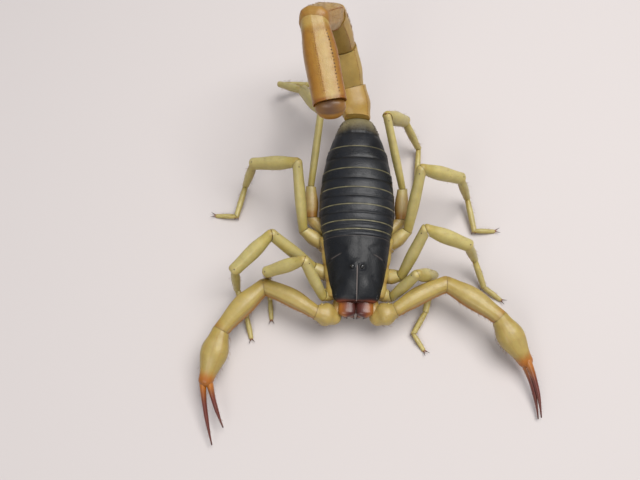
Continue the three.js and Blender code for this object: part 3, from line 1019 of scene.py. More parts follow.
BELLY = Cuticle(
    "belly cuticle", "#a89059", "#8a642b", "#c3b27d", "#4c3520", gloss=0.15, glow=0.15, mottle=0.35,
)
JOINT_SKIN = Cuticle(
    "joint skin", "#a07a45", "#8a5523", "#c2ab82", "#4b2c16", roughness=(0.5, 0.7), gloss=0.05,
    mottle=0.4, grain=0.2, waves=1.2, relief=0.00006,
)
SIDE_SKIN = Cuticle(
    "side skin", "#a88f7c", "#94702f", "#c2aea0", "#5c4638", roughness=(0.5, 0.7), gloss=0.05,
    mottle=0.4, grain=0.2, waves=1.4, relief=0.00008,
)
GRAIN = Cuticle(
    "keel grain", "#6b3316", "#a8621f", "#b89447", "#2c120a", gloss=0.2, mottle=0.5, mottle_size=0.0006,
)
EYE = Cuticle(
    "eye lens", "#07070a", "#0d0b0c", "#1a1a20", "#020203", roughness=(0.04, 0.08), gloss=1.0,
    mottle=0.3, grain=0.0, waves=0.02, relief=0.000004,
)
BRISTLE = Cuticle(
    "bristle", "#5e3018", "#a8732f", "#b98f4c", "#34180d", roughness=(0.35, 0.5), gloss=0.1,
    mottle=0.4, mottle_size=0.004, grain=0.1, waves=0.1, relief=0.000003,
)


# ---- setting pieces down


class Stand:
    """Sets finished pieces down in the frame of the solids, about the rear margin of the carapace."""

    LOW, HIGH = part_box("carapace")
    ORIGIN = Vector(((LOW.x + HIGH.x) / 2, HIGH.y, 0))
    count = 0

    @classmethod
    def place(cls, point: Vector) -> Vector:
        """A point of the trunk's own frame, in metres in the frame of the solids."""
        return cls.ORIGIN + point * MILLIMETRE

    @classmethod
    def settle(cls, body: Body, finish: Cuticle, slot: Slot | None = None, stands_for: str = "",
               smooth: float = 50) -> None:
        """Scales a piece to metres, dresses it and hands it to the frame.

        Args:
            body: The piece, in millimetres.
            finish: Its finish, where the piece doesn't carry materials yet.
            slot: Not used.
            stands_for: The solid that it replaces, if any.
            smooth: The sharpest edge that is still shaded smooth, in degrees.
        """
        Bench.applied(body, Matrix.Translation(cls.ORIGIN) @ Matrix.Scale(MILLIMETRE, 4))
        bpy.ops.object.shade_smooth_by_angle(angle=math.radians(smooth))
        if not body.data.materials:
            body.data.materials.append(finish.material())
        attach(body, "root")
        if stands_for:
            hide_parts(stands_for)
        cls.count += 1
        LOG.info("%s: %d faces", body.name, len(body.data.polygons))


def scattered(host: Segment, count: int, rng: Generator, at: Pair, turn: Pair, size: Pair) -> list[Spot]:
    """Scatters grains over a patch of a segment.

    Args:
        host: The segment.
        count: How many grains.
        rng: The source of unevenness.
        at: The share of the length that they stand on.
        turn: The directions round the segment that they stand in.
        size: The smallest and the largest radius.

    Returns:
        The grains' places.
    """
    spots = []
    for _ in range(count):
        place, out = host.surface(float(rng.uniform(*at)), float(rng.uniform(*turn)))
        spots.append((place - out * 0.02, out, float(rng.uniform(*size))))
    return spots


def joint_skin(first: Segment, second: Segment, side: Callable[[Vector], Vector], size: Pair, length: float,
               section: Section, rings: int = 3, bluntness: float = 0.3) -> Body:
    """Builds the soft skin inside one joint.

    Args:
        first: The segment before the joint.
        second: The segment after it.
        side: Gives the side vector across the skin's travel.
        size: Its width and depth.
        length: Its length, half of it on each side of the joint.
        section: Its outline.
        rings: How many rings it is drawn with.
        bluntness: How far its ends bulge.

    Returns:
        The skin.
    """
    bend = (first.along + second.along).normalized()
    wide, high = size
    return Segment(
        "joint_skin", first.end - bend * (length / 2), bend, side(bend), length, (wide,) * 3, (high,) * 3,
        section=section, rings=rings, bluntness=bluntness,
    ).build()


def dressed(body: Body, finish: Cuticle) -> Body:
    """Gives a part its finish before it is joined to others.

    Args:
        body: The part.
        finish: The finish.

    Returns:
        The part.
    """
    body.data.materials.clear()
    body.data.materials.append(finish.material())
    return body


def marked(body: Body, warm: float = 0.0, dark: float = 0.0, pale: float = 0.0) -> Body:
    """Gives a part one even marking before it is joined to others.

    Args:
        body: The part.
        warm: How far it is marked with the finish's warm colour.
        dark: The same for the dark colour.
        pale: The same for the pale colour.

    Returns:
        The part.
    """
    Bench.tint(body, np.array(warm), np.array(dark), np.array(pale))
    return body


# ---- trunk


@dataclass(frozen=True)
class Station:
    """The trunk's measures at one place along it."""

    y: float
    half: float
    crest: float
    seam: float
    belly: float


@dataclass(frozen=True)
class Furrow:
    """A furrow along a path seen from above, or a ridge where its depth is less than nothing."""

    path: tuple[Pair, ...]
    deep: float
    broad: float


@dataclass
class Trunk:
    """The trunk's shape, its black back plates, its eyes, its soft sides and its belly plates."""

    stations: tuple[Station, ...] = (
        Station(-12.8, 3.7, 9.3, 8.0, 5.4),
        Station(-12.0, 4.5, 9.9, 8.0, 4.8),
        Station(-8, 5.5, 11.0, 8.1, 3.9),
        Station(-3.5, 6.3, 11.8, 8.2, 3.5),
        Station(0, 6.8, 12.3, 8.3, 3.4),
        Station(5.5, 7.7, 13.0, 8.3, 3.3),
        Station(10.5, 7.7, 13.0, 8.4, 3.4),
        Station(15.5, 7.2, 12.7, 8.5, 3.8),
        Station(20.7, 6.2, 12.1, 8.6, 4.6),
        Station(25.0, 4.8, 11.6, 8.7, 5.6),
        Station(28.2, 3.4, 11.3, 8.8, 6.8),
    )
    carapace_front: float = -12.8
    tergite_rears: tuple[float, ...] = (1.4, 3.2, 6.7, 10.6, 15.2, 20.8, 28.0)
    eye_radius: float = 0.46
    eye_place: tuple[float, float] = (0.95, -6.5)
    mound: Triple = (1.6, 2.0, 0.48)
    middle_furrows: tuple[Furrow, ...] = (
        Furrow(((0, -13.8), (0, -6.0)), 0.1, 0.24),
        Furrow(((0, -4.6), (0, -0.6)), 0.06, 0.6),
    )
    side_furrows: tuple[Furrow, ...] = (
        Furrow(((2.9, -8.6), (3.0, -6.4), (2.4, -4.4)), 0.06, 0.9),
        Furrow(((5.6, -5.0), (4.4, -4.1), (3.3, -3.7)), 0.07, 0.16),
        Furrow(((2.6, -2.6), (4.4, -1.6), (6.2, -1.4)), 0.08, 0.5),
        Furrow(((4.6, -10.4), (3.4, -8.4)), 0.08, 0.6),
    )
    plate_profile: tuple[Pair, ...] = (
        (0.0, -0.2), (0.08, -0.1), (0.2, -0.01), (0.33, 0.03), (0.42, 0.0), (0.455, -0.1), (0.5, -0.12),
        (0.54, -0.02), (0.6, 0.07), (0.72, 0.12), (0.84, 0.17),
    )
    plate_edge: tuple[Pair, ...] = ((0.36, 0.2), (0.26, 0.16), (0.14, 0.19), (0.03, 0.17))
    sternite_rears: tuple[float, ...] = (8.2, 12.4, 16.8, 21.6, 28.0)
    shield_grains: int = 420
    back_grains: int = 46
    seed: int = 7

    def measure(self, name: str, y: float) -> float:
        """A measure of the trunk, on a smooth curve through the stations.

        Args:
            name: The measure, as a station names it.
            y: The place along the trunk.

        Returns:
            The measure there.
        """
        rows, last = self.stations, len(self.stations) - 1
        nxt = min(max(next((i for i, row in enumerate(rows) if row.y >= y), last), 1), last)
        a, b = rows[nxt - 1], rows[nxt]
        before, after = rows[max(nxt - 2, 0)], rows[min(nxt + 1, last)]
        va, vb = getattr(a, name), getattr(b, name)
        t = (y - a.y) / (b.y - a.y)
        slope_a = (vb - getattr(before, name)) / (b.y - before.y) * (b.y - a.y)
        slope_b = (getattr(after, name) - va) / (after.y - a.y) * (b.y - a.y)
        rise = vb - va
        steepening = 3 * rise - 2 * slope_a - slope_b + t * (slope_a + slope_b - 2 * rise)
        return va + t * (slope_a + t * steepening)

    def shell(self, name: str, places: Sequence[Triple], section: Section, below: bool = False,
              levels: int = 1) -> Body:
        """Draws a length of the trunk above or below its side seam.

        Args:
            name: The object's name.
            places: For each ring its y, its lift off the trunk's surface and how far it is drawn in.
            section: The outline, flat on the side that faces the seam.
            below: Whether it is a plate of the belly.
            levels: How often the shell is rounded.

        Returns:
            The shell, in the trunk's frame.
        """
        rings = []
        for y, lift, inset in places:
            seam = self.measure("seam", y)
            outer = self.measure("belly" if below else "crest", y)
            high = max(abs(outer - seam) + lift - inset * 0.5, 0.1)
            wide = max(self.measure("half", y) + lift * 0.4 - inset, 0.1)
            rings.append(Ring(y, wide, high, 0, -seam if below else seam))
        way = -1 if below else 1
        turn = Matrix(((-way, 0, 0), (0, 0, 1), (0, way, 0)))
        return Bench.applied(Loft.draw(name, section, rings, levels), turn.to_4x4())

    @staticmethod
    def carve(body: Body, furrow: Furrow, sign: int = 1) -> Rows:
        """Sinks a furrow into a plate.

        Args:
            body: The plate.
            furrow: The furrow, as it lies on the animal's left.
            sign: Less than nothing to lay it on the right.

        Returns:
            How much each vertex is in the furrow, from 0 to 1.
        """
        flat = Bench.points(body)[:, :2]
        path = np.array(furrow.path) * (sign, 1)
        best = np.full(len(flat), 1e9)
        for start, run in zip(path, np.diff(path, axis=0)):
            share = np.clip(((flat - start) @ run) / max(run @ run, 1e-9), 0, 1)
            best = np.minimum(best, np.hypot(*(flat - start - share[:, None] * run).T))
        inside = np.exp(-((best / furrow.broad) ** 2)) * (Bench.points(body, "normal")[:, 2] > 0.05)
        Bench.swelled(body, -inside * furrow.deep)
        return inside

    # ---- carapace

    def carapace(self) -> None:
        """Builds the head shield with its eye mound and furrows, and the eyes."""
        section = Section(sides=56, underside=0.08, keels=(Keel(4, 0.012, 5), Keel(176, 0.012, 5)))
        front = self.carapace_front
        places = [(front + 0.16, -0.28, 0.6), (front + 0.03, -0.06, 0.18), (front + 0.02, 0.02, 0.06)]
        places += [(y, 0.0, 0.0) for y in np.linspace(front + 0.25, -0.25, 24)]
        places += [(-0.08, 0.03, 0.0), (0.0, 0.0, 0.06), (0.02, -0.2, 0.2), (-0.1, -0.6, 0.5)]
        body = self.shell("carapace_shield", places, section, levels=2)
        self._raise_lobes(body)
        middle = [self.carve(body, furrow) for furrow in self.middle_furrows][0]
        for sign in (-1, 1):
            for furrow in self.side_furrows:
                self.carve(body, furrow, sign)
        now = Bench.points(body)
        x, y = np.abs(now[:, 0]), now[:, 1]
        fold = bump(-3.72, 0.09, y + 0.42 * (x - 3.4)) * step(3.0, 3.5, x) * (1 - step(4.9, 5.4, x))
        line = bump(0, 0.06, x) * (1 - step(-6.7, -6.0, y)) * (now[:, 2] > 8.5)
        rim = bump(0.0, 0.14, y) * (now[:, 2] > 9)
        pale = 0.8 * line + 0.36 * fold + 0.3 * rim
        warm = 0.8 * bump(front, 0.35, y) * step(1.0, 3.4, x) + 0.5 * bump(front, 0.2, y)
        # The dark along the middle furrow, on either side of its pale line, is painted shade in the furrow.
        Bench.tint(body, warm, 0.5 * middle * (1 - line), pale)
        dressed(body, HEAD_PLATE)
        grains = marked(dressed(Bead.strew("shield_grain", self._shield_grains()), HEAD_PLATE))
        whole = Bench.join("carapace_shield", [body, grains])
        Stand.settle(whole, HEAD_PLATE, Slot.BLACK, "carapace", smooth=70)
        self._eyes()

    def _raise_lobes(self, body: Body) -> None:
        """Raises the low hill of the middle eyes, a brow over each, and the lobes round them.

        Args:
            body: The head shield.
        """
        places = Bench.points(body)
        x, y = places[:, 0], places[:, 1]
        ex, ey = self.eye_place
        hill = self.mound[2] * np.exp(-((x / self.mound[0]) ** 2) - ((y - ey) / self.mound[1]) ** 2)
        ring = np.hypot(np.abs(x) - ex, y - ey)
        brow = 0.09 * bump(self.eye_radius * 1.15, 0.2, ring)
        lobes = 0.16 * np.exp(-(((np.abs(x) - 1.8) / 1.1) ** 2) - ((y + 10.1) / 1.5) ** 2)
        flanks = 0.12 * np.exp(-(((np.abs(x) - 2.0) / 0.9) ** 2) - ((y + 3.9) / 1.5) ** 2)
        lift = (hill + brow + lobes + flanks) * (places[:, 2] > 8.8)
        Bench.put(body, places + np.column_stack([0 * x, 0 * x, lift]))

    def _shield_grains(self) -> list[Spot]:
        """Scatters fine grains along the sides and the rear of the head shield.

        Returns:
            The grains' places.
        """
        rng = default_rng(self.seed)
        spots = []
        for _ in range(self.shield_grains):
            y = float(rng.uniform(-12.2, -0.6))
            turn = float(rng.uniform(8, 48)) if rng.random() < 0.8 else float(rng.uniform(48, 80))
            sign = 1 if rng.random() < 0.5 else -1
            spots.append(self._on_back(y, turn, sign, float(rng.uniform(0.05, 0.1))))
        return spots

    def _on_back(self, y: float, turn: float, sign: int, radius: float, lift: float = 0.0) -> Spot:
        """A grain's place on the back.

        Args:
            y: The place along the trunk.
            turn: The angle up from the side seam.
            sign: More than nothing for the animal's left.
            radius: The grain's radius.
            lift: How far the skin there is raised.

        Returns:
            The place, outward way and radius.
        """
        half, crest, seam = (self.measure(name, y) for name in ("half", "crest", "seam"))
        c, s = math.cos(math.radians(turn)), math.sin(math.radians(turn))
        out = Vector((sign * c / half, 0, s / (crest - seam))).normalized()
        place = Vector((sign * c * half, y, seam + s * (crest - seam))) + out * (lift - radius * 0.35)
        return place, out, radius

    def _eyes(self) -> None:
        """Builds the two middle eyes and the three small eyes at each front corner."""
        x, y = self.eye_place
        for side in Side:
            centre = Vector((side.value * x, y, self.measure("crest", y) + 0.45))
            sphere = bpy.ops.mesh.primitive_uv_sphere_add
            sizes = {"segments": 32, "ring_count": 20, "radius": self.eye_radius}
            ball = Bench.primitive(sphere, location=centre, **sizes)
            ball.name = f"eye_lens_{side.label}"
            marked(Bench.applied(ball))
            Stand.settle(ball, EYE, Slot.EYE, f"eye_{side.label}", smooth=180)
        spots = []
        for sign in (-1, 1):
            for index in range(3):
                radius = 0.2 - 0.03 * index
                spots.append(self._on_back(-12.1 + 0.5 * index, 26 + 4 * index, sign, radius, 0.06))
        small = Bead.strew("side_eyes", spots)
        Bench.refined(small, 2)
        marked(small)
        Stand.settle(small, EYE, Slot.EYE, smooth=180)

    # ---- back plates

    def tergites(self) -> None:
        """Builds the seven back plates, each with a groove, a rough rear half and a pale rear edge."""
        rng = default_rng(self.seed + 1)
        front = 0.0
        for index, rear in enumerate(self.tergite_rears):
            self._tergite(index + 1, front, rear, rng)
            front = rear

    def _tergite(self, number: int, front: float, rear: float, rng: Generator) -> None:
        """Builds one back plate.

        Args:
            number: Its number from the head.
            front: The rear edge of the plate before it.
            rear: Its own rear edge.
            rng: The source of unevenness.
        """
        run = rear - front
        profile = [(-0.5 / run, -0.75), (-0.3 / run, -0.34), *self.plate_profile]
        profile += [(1 - back / run, lift) for back, lift in self.plate_edge]
        flat = 0.5 if number < 3 else 1.0
        places = []
        for t, lift in profile:
            eased = lift * flat if t > 0 and lift < 0.15 else lift
            places.append((front + t * run, eased, 0.0))
        places += [(rear, 0.03, 0.04), (rear - 0.02, -0.2, 0.15), (rear - 0.15, -0.7, 0.4)]
        body = self.shell(f"back_plate_{number}", places, Section(sides=48, underside=0.06))
        if number == 7:
            self._crease(body, front, run)
        points = Bench.points(body)
        y, x = points[:, 1], np.abs(points[:, 0])
        top = points[:, 2] > 8.9
        edge = step(rear - 0.34, rear - 0.2, y) * top
        fade = (number == 7) * step(front + 0.5 * run, rear, y + 0.6 * step(1.5, 3.5, x))
        wobble = 0.1 * np.sin(points[:, 0] * 1.7 + number) + 0.05 * np.sin(points[:, 0] * 4.1)
        # The dark line in the middle groove is painted shade in the groove, and the dark strip along the front edge
        # is painted shade under the rear edge of the plate or shield before it.
        dark = 0.9 * bump(front + 0.48 * run, 0.045 * run + 0.06, y + wobble) * (number > 2)
        dark = dark + 0.6 * bump(front + 0.02, 0.12, y)
        worn = 0.55 + 0.2 * np.sin(points[:, 0] * 2.3 + number * 1.9) * np.sin(points[:, 0] * 0.9 + number)
        warm, pale = np.maximum(0.1 * edge, fade * 0.8), np.maximum(edge * worn, fade * 0.62)
        Bench.tint(body, warm, dark * (1 - edge), pale)
        dressed(body, BLACK_PLATE)
        spots = []
        for _ in range(int(self.back_grains * run)):
            t = float(rng.uniform(0.56, 0.93))
            sign = 1 if rng.random() < 0.5 else -1
            turn = float(rng.uniform(10, 90))
            radius = float(rng.uniform(0.04, 0.085))
            spots.append(self._on_back(front + t * run, turn, sign, radius, 0.11 + 0.06 * t))
        grains = dressed(Bead.strew("back_grain", spots), BLACK_PLATE)
        marked(grains, warm=0.75 if number == 7 else 0.0)
        whole = Bench.join(f"back_plate_{number}", [body, grains])
        Stand.settle(whole, BLACK_PLATE, Slot.BLACK, f"tergite_{number}", smooth=70)

    def _crease(self, body: Body, front: float, run: float) -> None:
        """Sinks three creases into the last back plate and raises its four ridges.

        Args:
            body: The plate.
            front: Its front edge.
            run: Its length.
        """
        for wave in (0.30, 0.40, 0.62):
            y = front + wave * run
            self.carve(body, Furrow(((-3.4, y), (0, y + 0.1), (3.4, y)), 0.07, 0.12))
        for sign in (-1, 1):
            self.carve(body, Furrow(((1.5, front + 0.4 * run), (1.5, front + 0.8 * run)), -0.1, 0.3), sign)
            self.carve(body, Furrow(((3.4, front + 0.35 * run), (2.9, front + 0.82 * run)), -0.1, 0.3), sign)

    # ---- soft sides and belly

    def soft_body(self) -> None:
        """Builds the soft folded skin that joins the back plates to the belly plates."""
        ys = np.linspace(-11.6, 27.9, 80)
        places = [(float(y), -0.75, 0.28 + 0.1 * math.cos(y * 4.2)) for y in ys]
        body = self.shell("soft_sides", places, Section(sides=40, square=2.1, underside=0.85))
        points = Bench.points(body)
        pleats = 0.07 * np.sin(points[:, 1] * 5.5 + points[:, 2] * 2.0)
        Bench.swelled(body, pleats * bump(8.3, 1.4, points[:, 2]))
        marked(body, pale=0.4)
        Stand.settle(body, SIDE_SKIN, Slot.BELLY, smooth=180)

    def belly_plates(self) -> None:
        """Builds the five plates of the belly, with a breathing slit on each side of the first four."""
        front, parts = 3.4, []
        for number, rear in enumerate(self.sternite_rears, start=3):
            run = rear - front
            places = [(front - 0.4, -0.5, 0.3), (front, -0.12, 0.1), (front + 0.15 * run, 0.0, 0.02)]
            places += [(front + 0.5 * run, 0.02, 0.0), (rear - 0.4, 0.05, 0.0), (rear - 0.12, 0.04, 0.02)]
            places += [(rear, -0.05, 0.06), (rear - 0.1, -0.5, 0.4)]
            section = Section(sides=40, square=2.3, underside=0.05)
            plate = self.shell(f"belly_plate_{number}", places, section, below=True)
            points = Bench.points(plate)
            x, y = np.abs(points[:, 0]), points[:, 1]
            slit = 0 * x
            if number < 7:
                middle = front + 0.55 * run
                aside = x - self.measure("half", middle) * 0.6
                slit = np.exp(-((aside / 0.75) ** 2) - (((y - middle - 0.35 * aside) / 0.13) ** 2))
                Bench.swelled(plate, -0.12 * slit)
            edge = step(rear - 0.35, rear - 0.1, y)
            Bench.tint(plate, 0.4 * edge + 0.25 * step(2.0, 6.0, x), slit, 0.5 * edge)
            parts.append(dressed(plate, BELLY))
            front = rear
        whole = Bench.join("belly_plates", parts)
        Stand.settle(whole, BELLY, Slot.BELLY, "belly")


# ---- tail


@dataclass(frozen=True)
class TailPart:
    """The sizes and the lie of one of the five tail rings."""

    name: str
    length: float
    pitch: float
    lean: float
    width: Triple
    depth: Triple


@dataclass
class Tail:
    """The five keeled rings of the tail, the poison bulb and the sting."""

    root: Triple = (0, 28.2, 10.4)
    parts: tuple[TailPart, ...] = (
        TailPart("metasoma_1", 7.4, 22, -13, (5.4, 6.7, 6.1), (4.6, 5.9, 5.4)),
        TailPart("metasoma_2", 8.8, 52, -14, (5.4, 6.3, 5.8), (4.8, 5.7, 5.4)),
        TailPart("metasoma_3", 9.6, 88, -15, (5.3, 6.1, 5.7), (4.8, 5.6, 5.3)),
        TailPart("metasoma_4", 11.7, 137, -16, (5.3, 6.1, 5.8), (4.8, 5.5, 5.2)),
        TailPart("metasoma_5", 15.8, 198, 12, (5.2, 6.4, 6.2), (4.8, 5.4, 4.6)),
    )
    neck: TailPart = TailPart("neck", 1.4, 250, 6, (5.6, 5.8, 5.2), (3.4, 3.6, 3.4))
    neck_drop: float = 0.5
    bulb: TailPart = TailPart("bulb", 7.0, 318, -2, (4.8, 5.4, 2.0), (3.0, 4.2, 2.0))
    sting_length: float = 5.4
    sting_width: Triple = (1.9, 1.6, 0.22)
    sting_hook: float = 45
    shifts: tuple[float, float, float, float] = (0.0, 0.0, 0.2, 1.15)
    keel_rows: tuple[KeelRow, ...] = (
        KeelRow(45, radius=0.1), KeelRow(135, radius=0.1),
        KeelRow(217, radius=0.09), KeelRow(323, radius=0.09),
    )
    last_rows: tuple[KeelRow, ...] = (
        KeelRow(45, radius=0.09), KeelRow(135, radius=0.09), KeelRow(212, 0.3, 0.95, 0.34, 0.1),
        KeelRow(284, 0.2, 0.9, 0.4, 0.12), KeelRow(291, 0.2, 0.9, 0.5, 0.1),
    )
    bead_row: KeelRow = KeelRow(236, 0.2, 0.93, 0.58, 0.14)
    gap: float = 0.05
    rim: float = 0.14
    seed: int = 21
    laid: list[Segment] = field(default_factory=list)

    @staticmethod
    def _paint(number: int) -> Painter:
        """Chooses the markings of a tail ring: amber keels and joints, with a paler middle line below.

        Args:
            number: The ring's number from the trunk.

        Returns:
            What marks the ring.
        """

        def masks(t: Rows, angle: Rows) -> Masks:
            """Marks the ring by its length and direction."""
            ends = step(0.9, 1.0, t) + 0.8 * (1 - step(0.0, 0.07, t))
            keels = sum(near_angle(angle, k, 7) for k in (45, 135, 215, 325))
            under = near_angle(angle, 270, 34) * (1 - 0.6 * step(0.93, 1.0, t))
            warm = (0.3 + 0.15 * number / 5) * ends + 0.3 * keels + 0.3 * near_angle(angle, 180, 38)
            if number == 3:
                warm = warm + 0.3 * (1 - step(0.08, 0.3, t))
            dark = 0.22 * bump(1.0, 0.014, t) + 0.15 * bump(0.0, 0.01, t)
            if number < 3:
                return warm * 0.25, dark, 0.35 * under + 0.35 * number
            return warm, dark, 0.2 * under + (0.15 if number == 4 else 0.5)

        def last(t: Rows, angle: Rows) -> Masks:
            """Marks the last ring: a pale face below between two rows, which is a painted highlight on the half of
            the underside that faces the light, and orange flanks.
            """
            cap = 1 - step(0.1, 0.14, t)
            flanks = 0.55 * near_angle(angle, 325, 36) + 0.75 * near_angle(angle, 205, 26)
            warm = flanks * (1 - cap) + 0.8 * bump(1.0, 0.03, t) + 0.5 * bump(0.0, 0.03, t)
            # The pale face is painted light: the half of the underside that faces the light is painted paler than
            # the rest.
            face = near_angle(angle, 259, 20) * step(0.14, 0.24, t)
            pale = 0.6 * face + 0.6 * cap + 0.5 * bump(0.945, 0.02, t) * near_angle(angle, 265, 50)
            lines = 0.5 * bump(0.135, 0.006, t) + 0.35 * bump(0.17, 0.005, t)
            dark = 0.45 * bump(1.0, 0.01, t) + lines * near_angle(angle, 268, 48)
            return warm, dark, pale

        return last if number == 5 else masks

    def build(self) -> None:
        """Builds the tail from its root to the tip of the sting."""
        rng = default_rng(self.seed)
        segments = [self._segment(part, number) for number, part in enumerate(self.parts, start=1)]
        self.laid = chain(Vector(self.root), segments)
        bodies = [one.build() for one in self.laid]
        parted(bodies, self.laid, self.gap, self.rim, self.shifts)
        Bench.cut(bodies[0], Vector((0, 28.12, 0)), Vector((0, -1, 0)))
        last = self.laid[-1]
        Bench.cut(bodies[-1], last.end + last.along * 0.1, last.along, 0.18)
        for number, (body, one) in enumerate(zip(bodies, self.laid), start=1):
            self._finish_ring(number, body, one, rng)
        self._joint_skins()
        self._telson(rng)

    @staticmethod
    def _segment(part: TailPart, number: int) -> Segment:
        """Makes one tail ring's segment, with four keels above and two or four below.

        Args:
            part: Its sizes and its lie.
            number: Its number from the trunk.

        Returns:
            The segment, with its place still to be set.
        """
        along = along_tail(part.pitch, part.lean)
        below = (236, 284) if number == 5 else (217, 248, 292, 323)
        angles = (45, 135, 12, 168, *below)
        keels = tuple(Keel(a, 0.05 if a in (45, 135) else 0.035, 6) for a in angles)
        return Segment(
            f"tail_ring_{number}", Vector(), along, tail_side(along), part.length, part.width, part.depth,
            section=Section(sides=48, square=2.6, keels=keels), bluntness=0.35, rings=12, levels=1,
            paint=Tail._paint(number), swellings=((0.97, 0.05, 0.03), (0.05, 0.06, 0.02)),
        )

    def _finish_ring(self, number: int, body: Body, one: Segment, rng: Generator) -> None:
        """Adds the grains of the keels to a tail ring and sets it down.

        Args:
            number: Its number from the trunk.
            body: The ring's shell.
            one: The segment that the shell was drawn from.
            rng: The source of unevenness.
        """
        rows = self.last_rows if number == 5 else self.keel_rows
        spots = [spot for row in rows for spot in row.spots(one, rng)]
        if number == 5:
            spots += scattered(one, 200, rng, (0.2, 0.95), (188, 232), (0.03, 0.07))
        grains = dressed(Bead.strew("keel_grain", spots), GRAIN)
        parts = [dressed(body, AMBER), marked(grains, warm=0.6, dark=0.1)]
        if number == 5:
            beads = Bead.strew("keel_beads", self.bead_row.spots(one, rng))
            parts.append(marked(dressed(beads, GRAIN), dark=0.75))
        Stand.settle(Bench.join(f"tail_ring_{number}", parts), AMBER, Slot.AMBER, f"metasoma_{number}")

    def _joint_skins(self) -> None:
        """Builds the soft skin inside each joint of the tail."""
        skins = []
        for first, second in zip(self.laid, self.laid[1:]):
            share = 0.9 - 0.38 * (1 - first.along.dot(second.along))
            size = (first.width[2] * share, first.depth[2] * share)
            section = Section(sides=24, square=2.6)
            skins.append(joint_skin(first, second, tail_side, size, 1.2, section, rings=4, bluntness=0.2))
        whole = marked(Bench.join("tail_joint_skins", skins), dark=0.55, warm=0.6)
        Stand.settle(whole, JOINT_SKIN, Slot.AMBER)

    def _telson(self, rng: Generator) -> None:
        """Builds the neck and bulb of the poison gland, and then the sting.

        Args:
            rng: The source of unevenness.
        """
        last = self.laid[-1]
        root = last.end + last.along * 0.25 + last.top * self.neck_drop
        neck_way = along_tail(self.neck.pitch, self.neck.lean)
        bulb_way = along_tail(self.bulb.pitch, self.bulb.lean)

        def collar(t: Rows, angle: Rows) -> Masks:
            """Darkens the front of the neck, with an orange rim round the dark patch."""
            patch = near_angle(angle, 270, 78) * (1 - step(0.5, 0.95, t))
            return 0.7 - 0.3 * patch, 0.95 * patch, 0 * t

        def markings(t: Rows, angle: Rows) -> Masks:
            """Darkens the bulb towards the sting."""
            return 0.5 + 0.4 * step(0.6, 1.0, t), 0.8 * step(0.86, 1.05, t), 0.25 * near_angle(angle, 270, 60)

        neck = Segment(
            "neck", root, neck_way, tail_side(neck_way), self.neck.length, self.neck.width, self.neck.depth,
            section=Section(sides=28, square=2.3), rings=5, paint=collar,
        )
        bulb = Segment(
            "bulb", neck.end, bulb_way, tail_side(bulb_way), self.bulb.length, self.bulb.width,
            self.bulb.depth, section=Section(sides=32, square=2.1), rings=10, paint=markings,
            swellings=((0.35, 0.25, 0.04),),
        )
        self.laid += [bulb]
        neck_body, bulb_body = neck.build(), bulb.build()
        Bench.cut(neck_body, last.end + last.along * 0.02, -last.along)
        Bench.cut(bulb_body, bulb.end, bulb_way, 0.12)
        spots = scattered(bulb, 90, rng, (0.08, 0.7), (200, 340), (0.04, 0.09))
        grains = marked(dressed(Bead.strew("bulb_grain", spots), GRAIN), warm=0.6)
        whole = Bench.join("poison_bulb", [dressed(neck_body, BULB), dressed(bulb_body, BULB), grains])
        Stand.settle(whole, BULB, Slot.AMBER, "telson_vesicle")
        self._sting(bulb.end + bulb_way * 0.08, bulb_way)

    def _sting(self, root: Vector, way: Vector) -> None:
        """Builds the dark hooked sting.

        Args:
            root: Where it leaves the bulb.
            way: The way it leaves.
        """

        def markings(t: Rows, angle: Rows) -> Masks:
            """Runs from orange at the root to a dark tip."""
            return 0.7 * (1 - step(0.0, 0.4, t)), step(0.2, 0.8, t), 0 * t

        body = Segment(
            "sting", root, way, way.cross(tail_side(way)), self.sting_length, self.sting_width,
            self.sting_width, section=Section(sides=20), rings=14, hook=self.sting_hook, peak=0.25,
            bluntness=0.4, paint=markings,
        ).build()
        Bench.cut(body, root, -way, 0.1)
        Stand.settle(Bench.join("sting", [body]), RED_BROWN, Slot.DARK, "telson_sting", smooth=80)


# ---- legs


@dataclass(frozen=True)
class LegPose:
    """The heading and pitch of one leg's segments. The two tarsi follow from the floor's height."""

    side: Side
    pair: int
    trochanter: tuple[float, float]
    femur: tuple[float, float]
    patella: tuple[float, float]
    tibia: tuple[float, float]
    tarsi: tuple[float, float]
    femur_length: float | None = None
    patella_length: float | None = None


LEG_POSES = (
    LegPose(Side.RIGHT, 1, (-148, 30), (133, 59), (-175, -35), (100, -76), (-84, -84)),
    LegPose(Side.RIGHT, 2, (160, 24), (160, 47), (-140, -25), (-120, -85), (-68, -75)),
    LegPose(Side.RIGHT, 3, (148, 18), (97.5, 42), (165, -29), (180, -75), (-102, 175), 14.3),
    LegPose(Side.RIGHT, 4, (93, 17), (83, 26), (115, -28), (137, -33), (18, -55)),
    LegPose(Side.LEFT, 1, (-9, -17), (28, 57), (33, -57), (-102, -13), (-120, -56), 8.9, 9.5),
    LegPose(Side.LEFT, 2, (-3, 22), (57, 57), (-7, -28), (9, -70), (-65, -35)),
    LegPose(Side.LEFT, 3, (40, 20), (79, 52), (10, -35), (8, -71), (-79, 5)),
    LegPose(Side.LEFT, 4, (88, 16), (111, 44), (45, -53), (-24, -62), (-94, -104)),
)


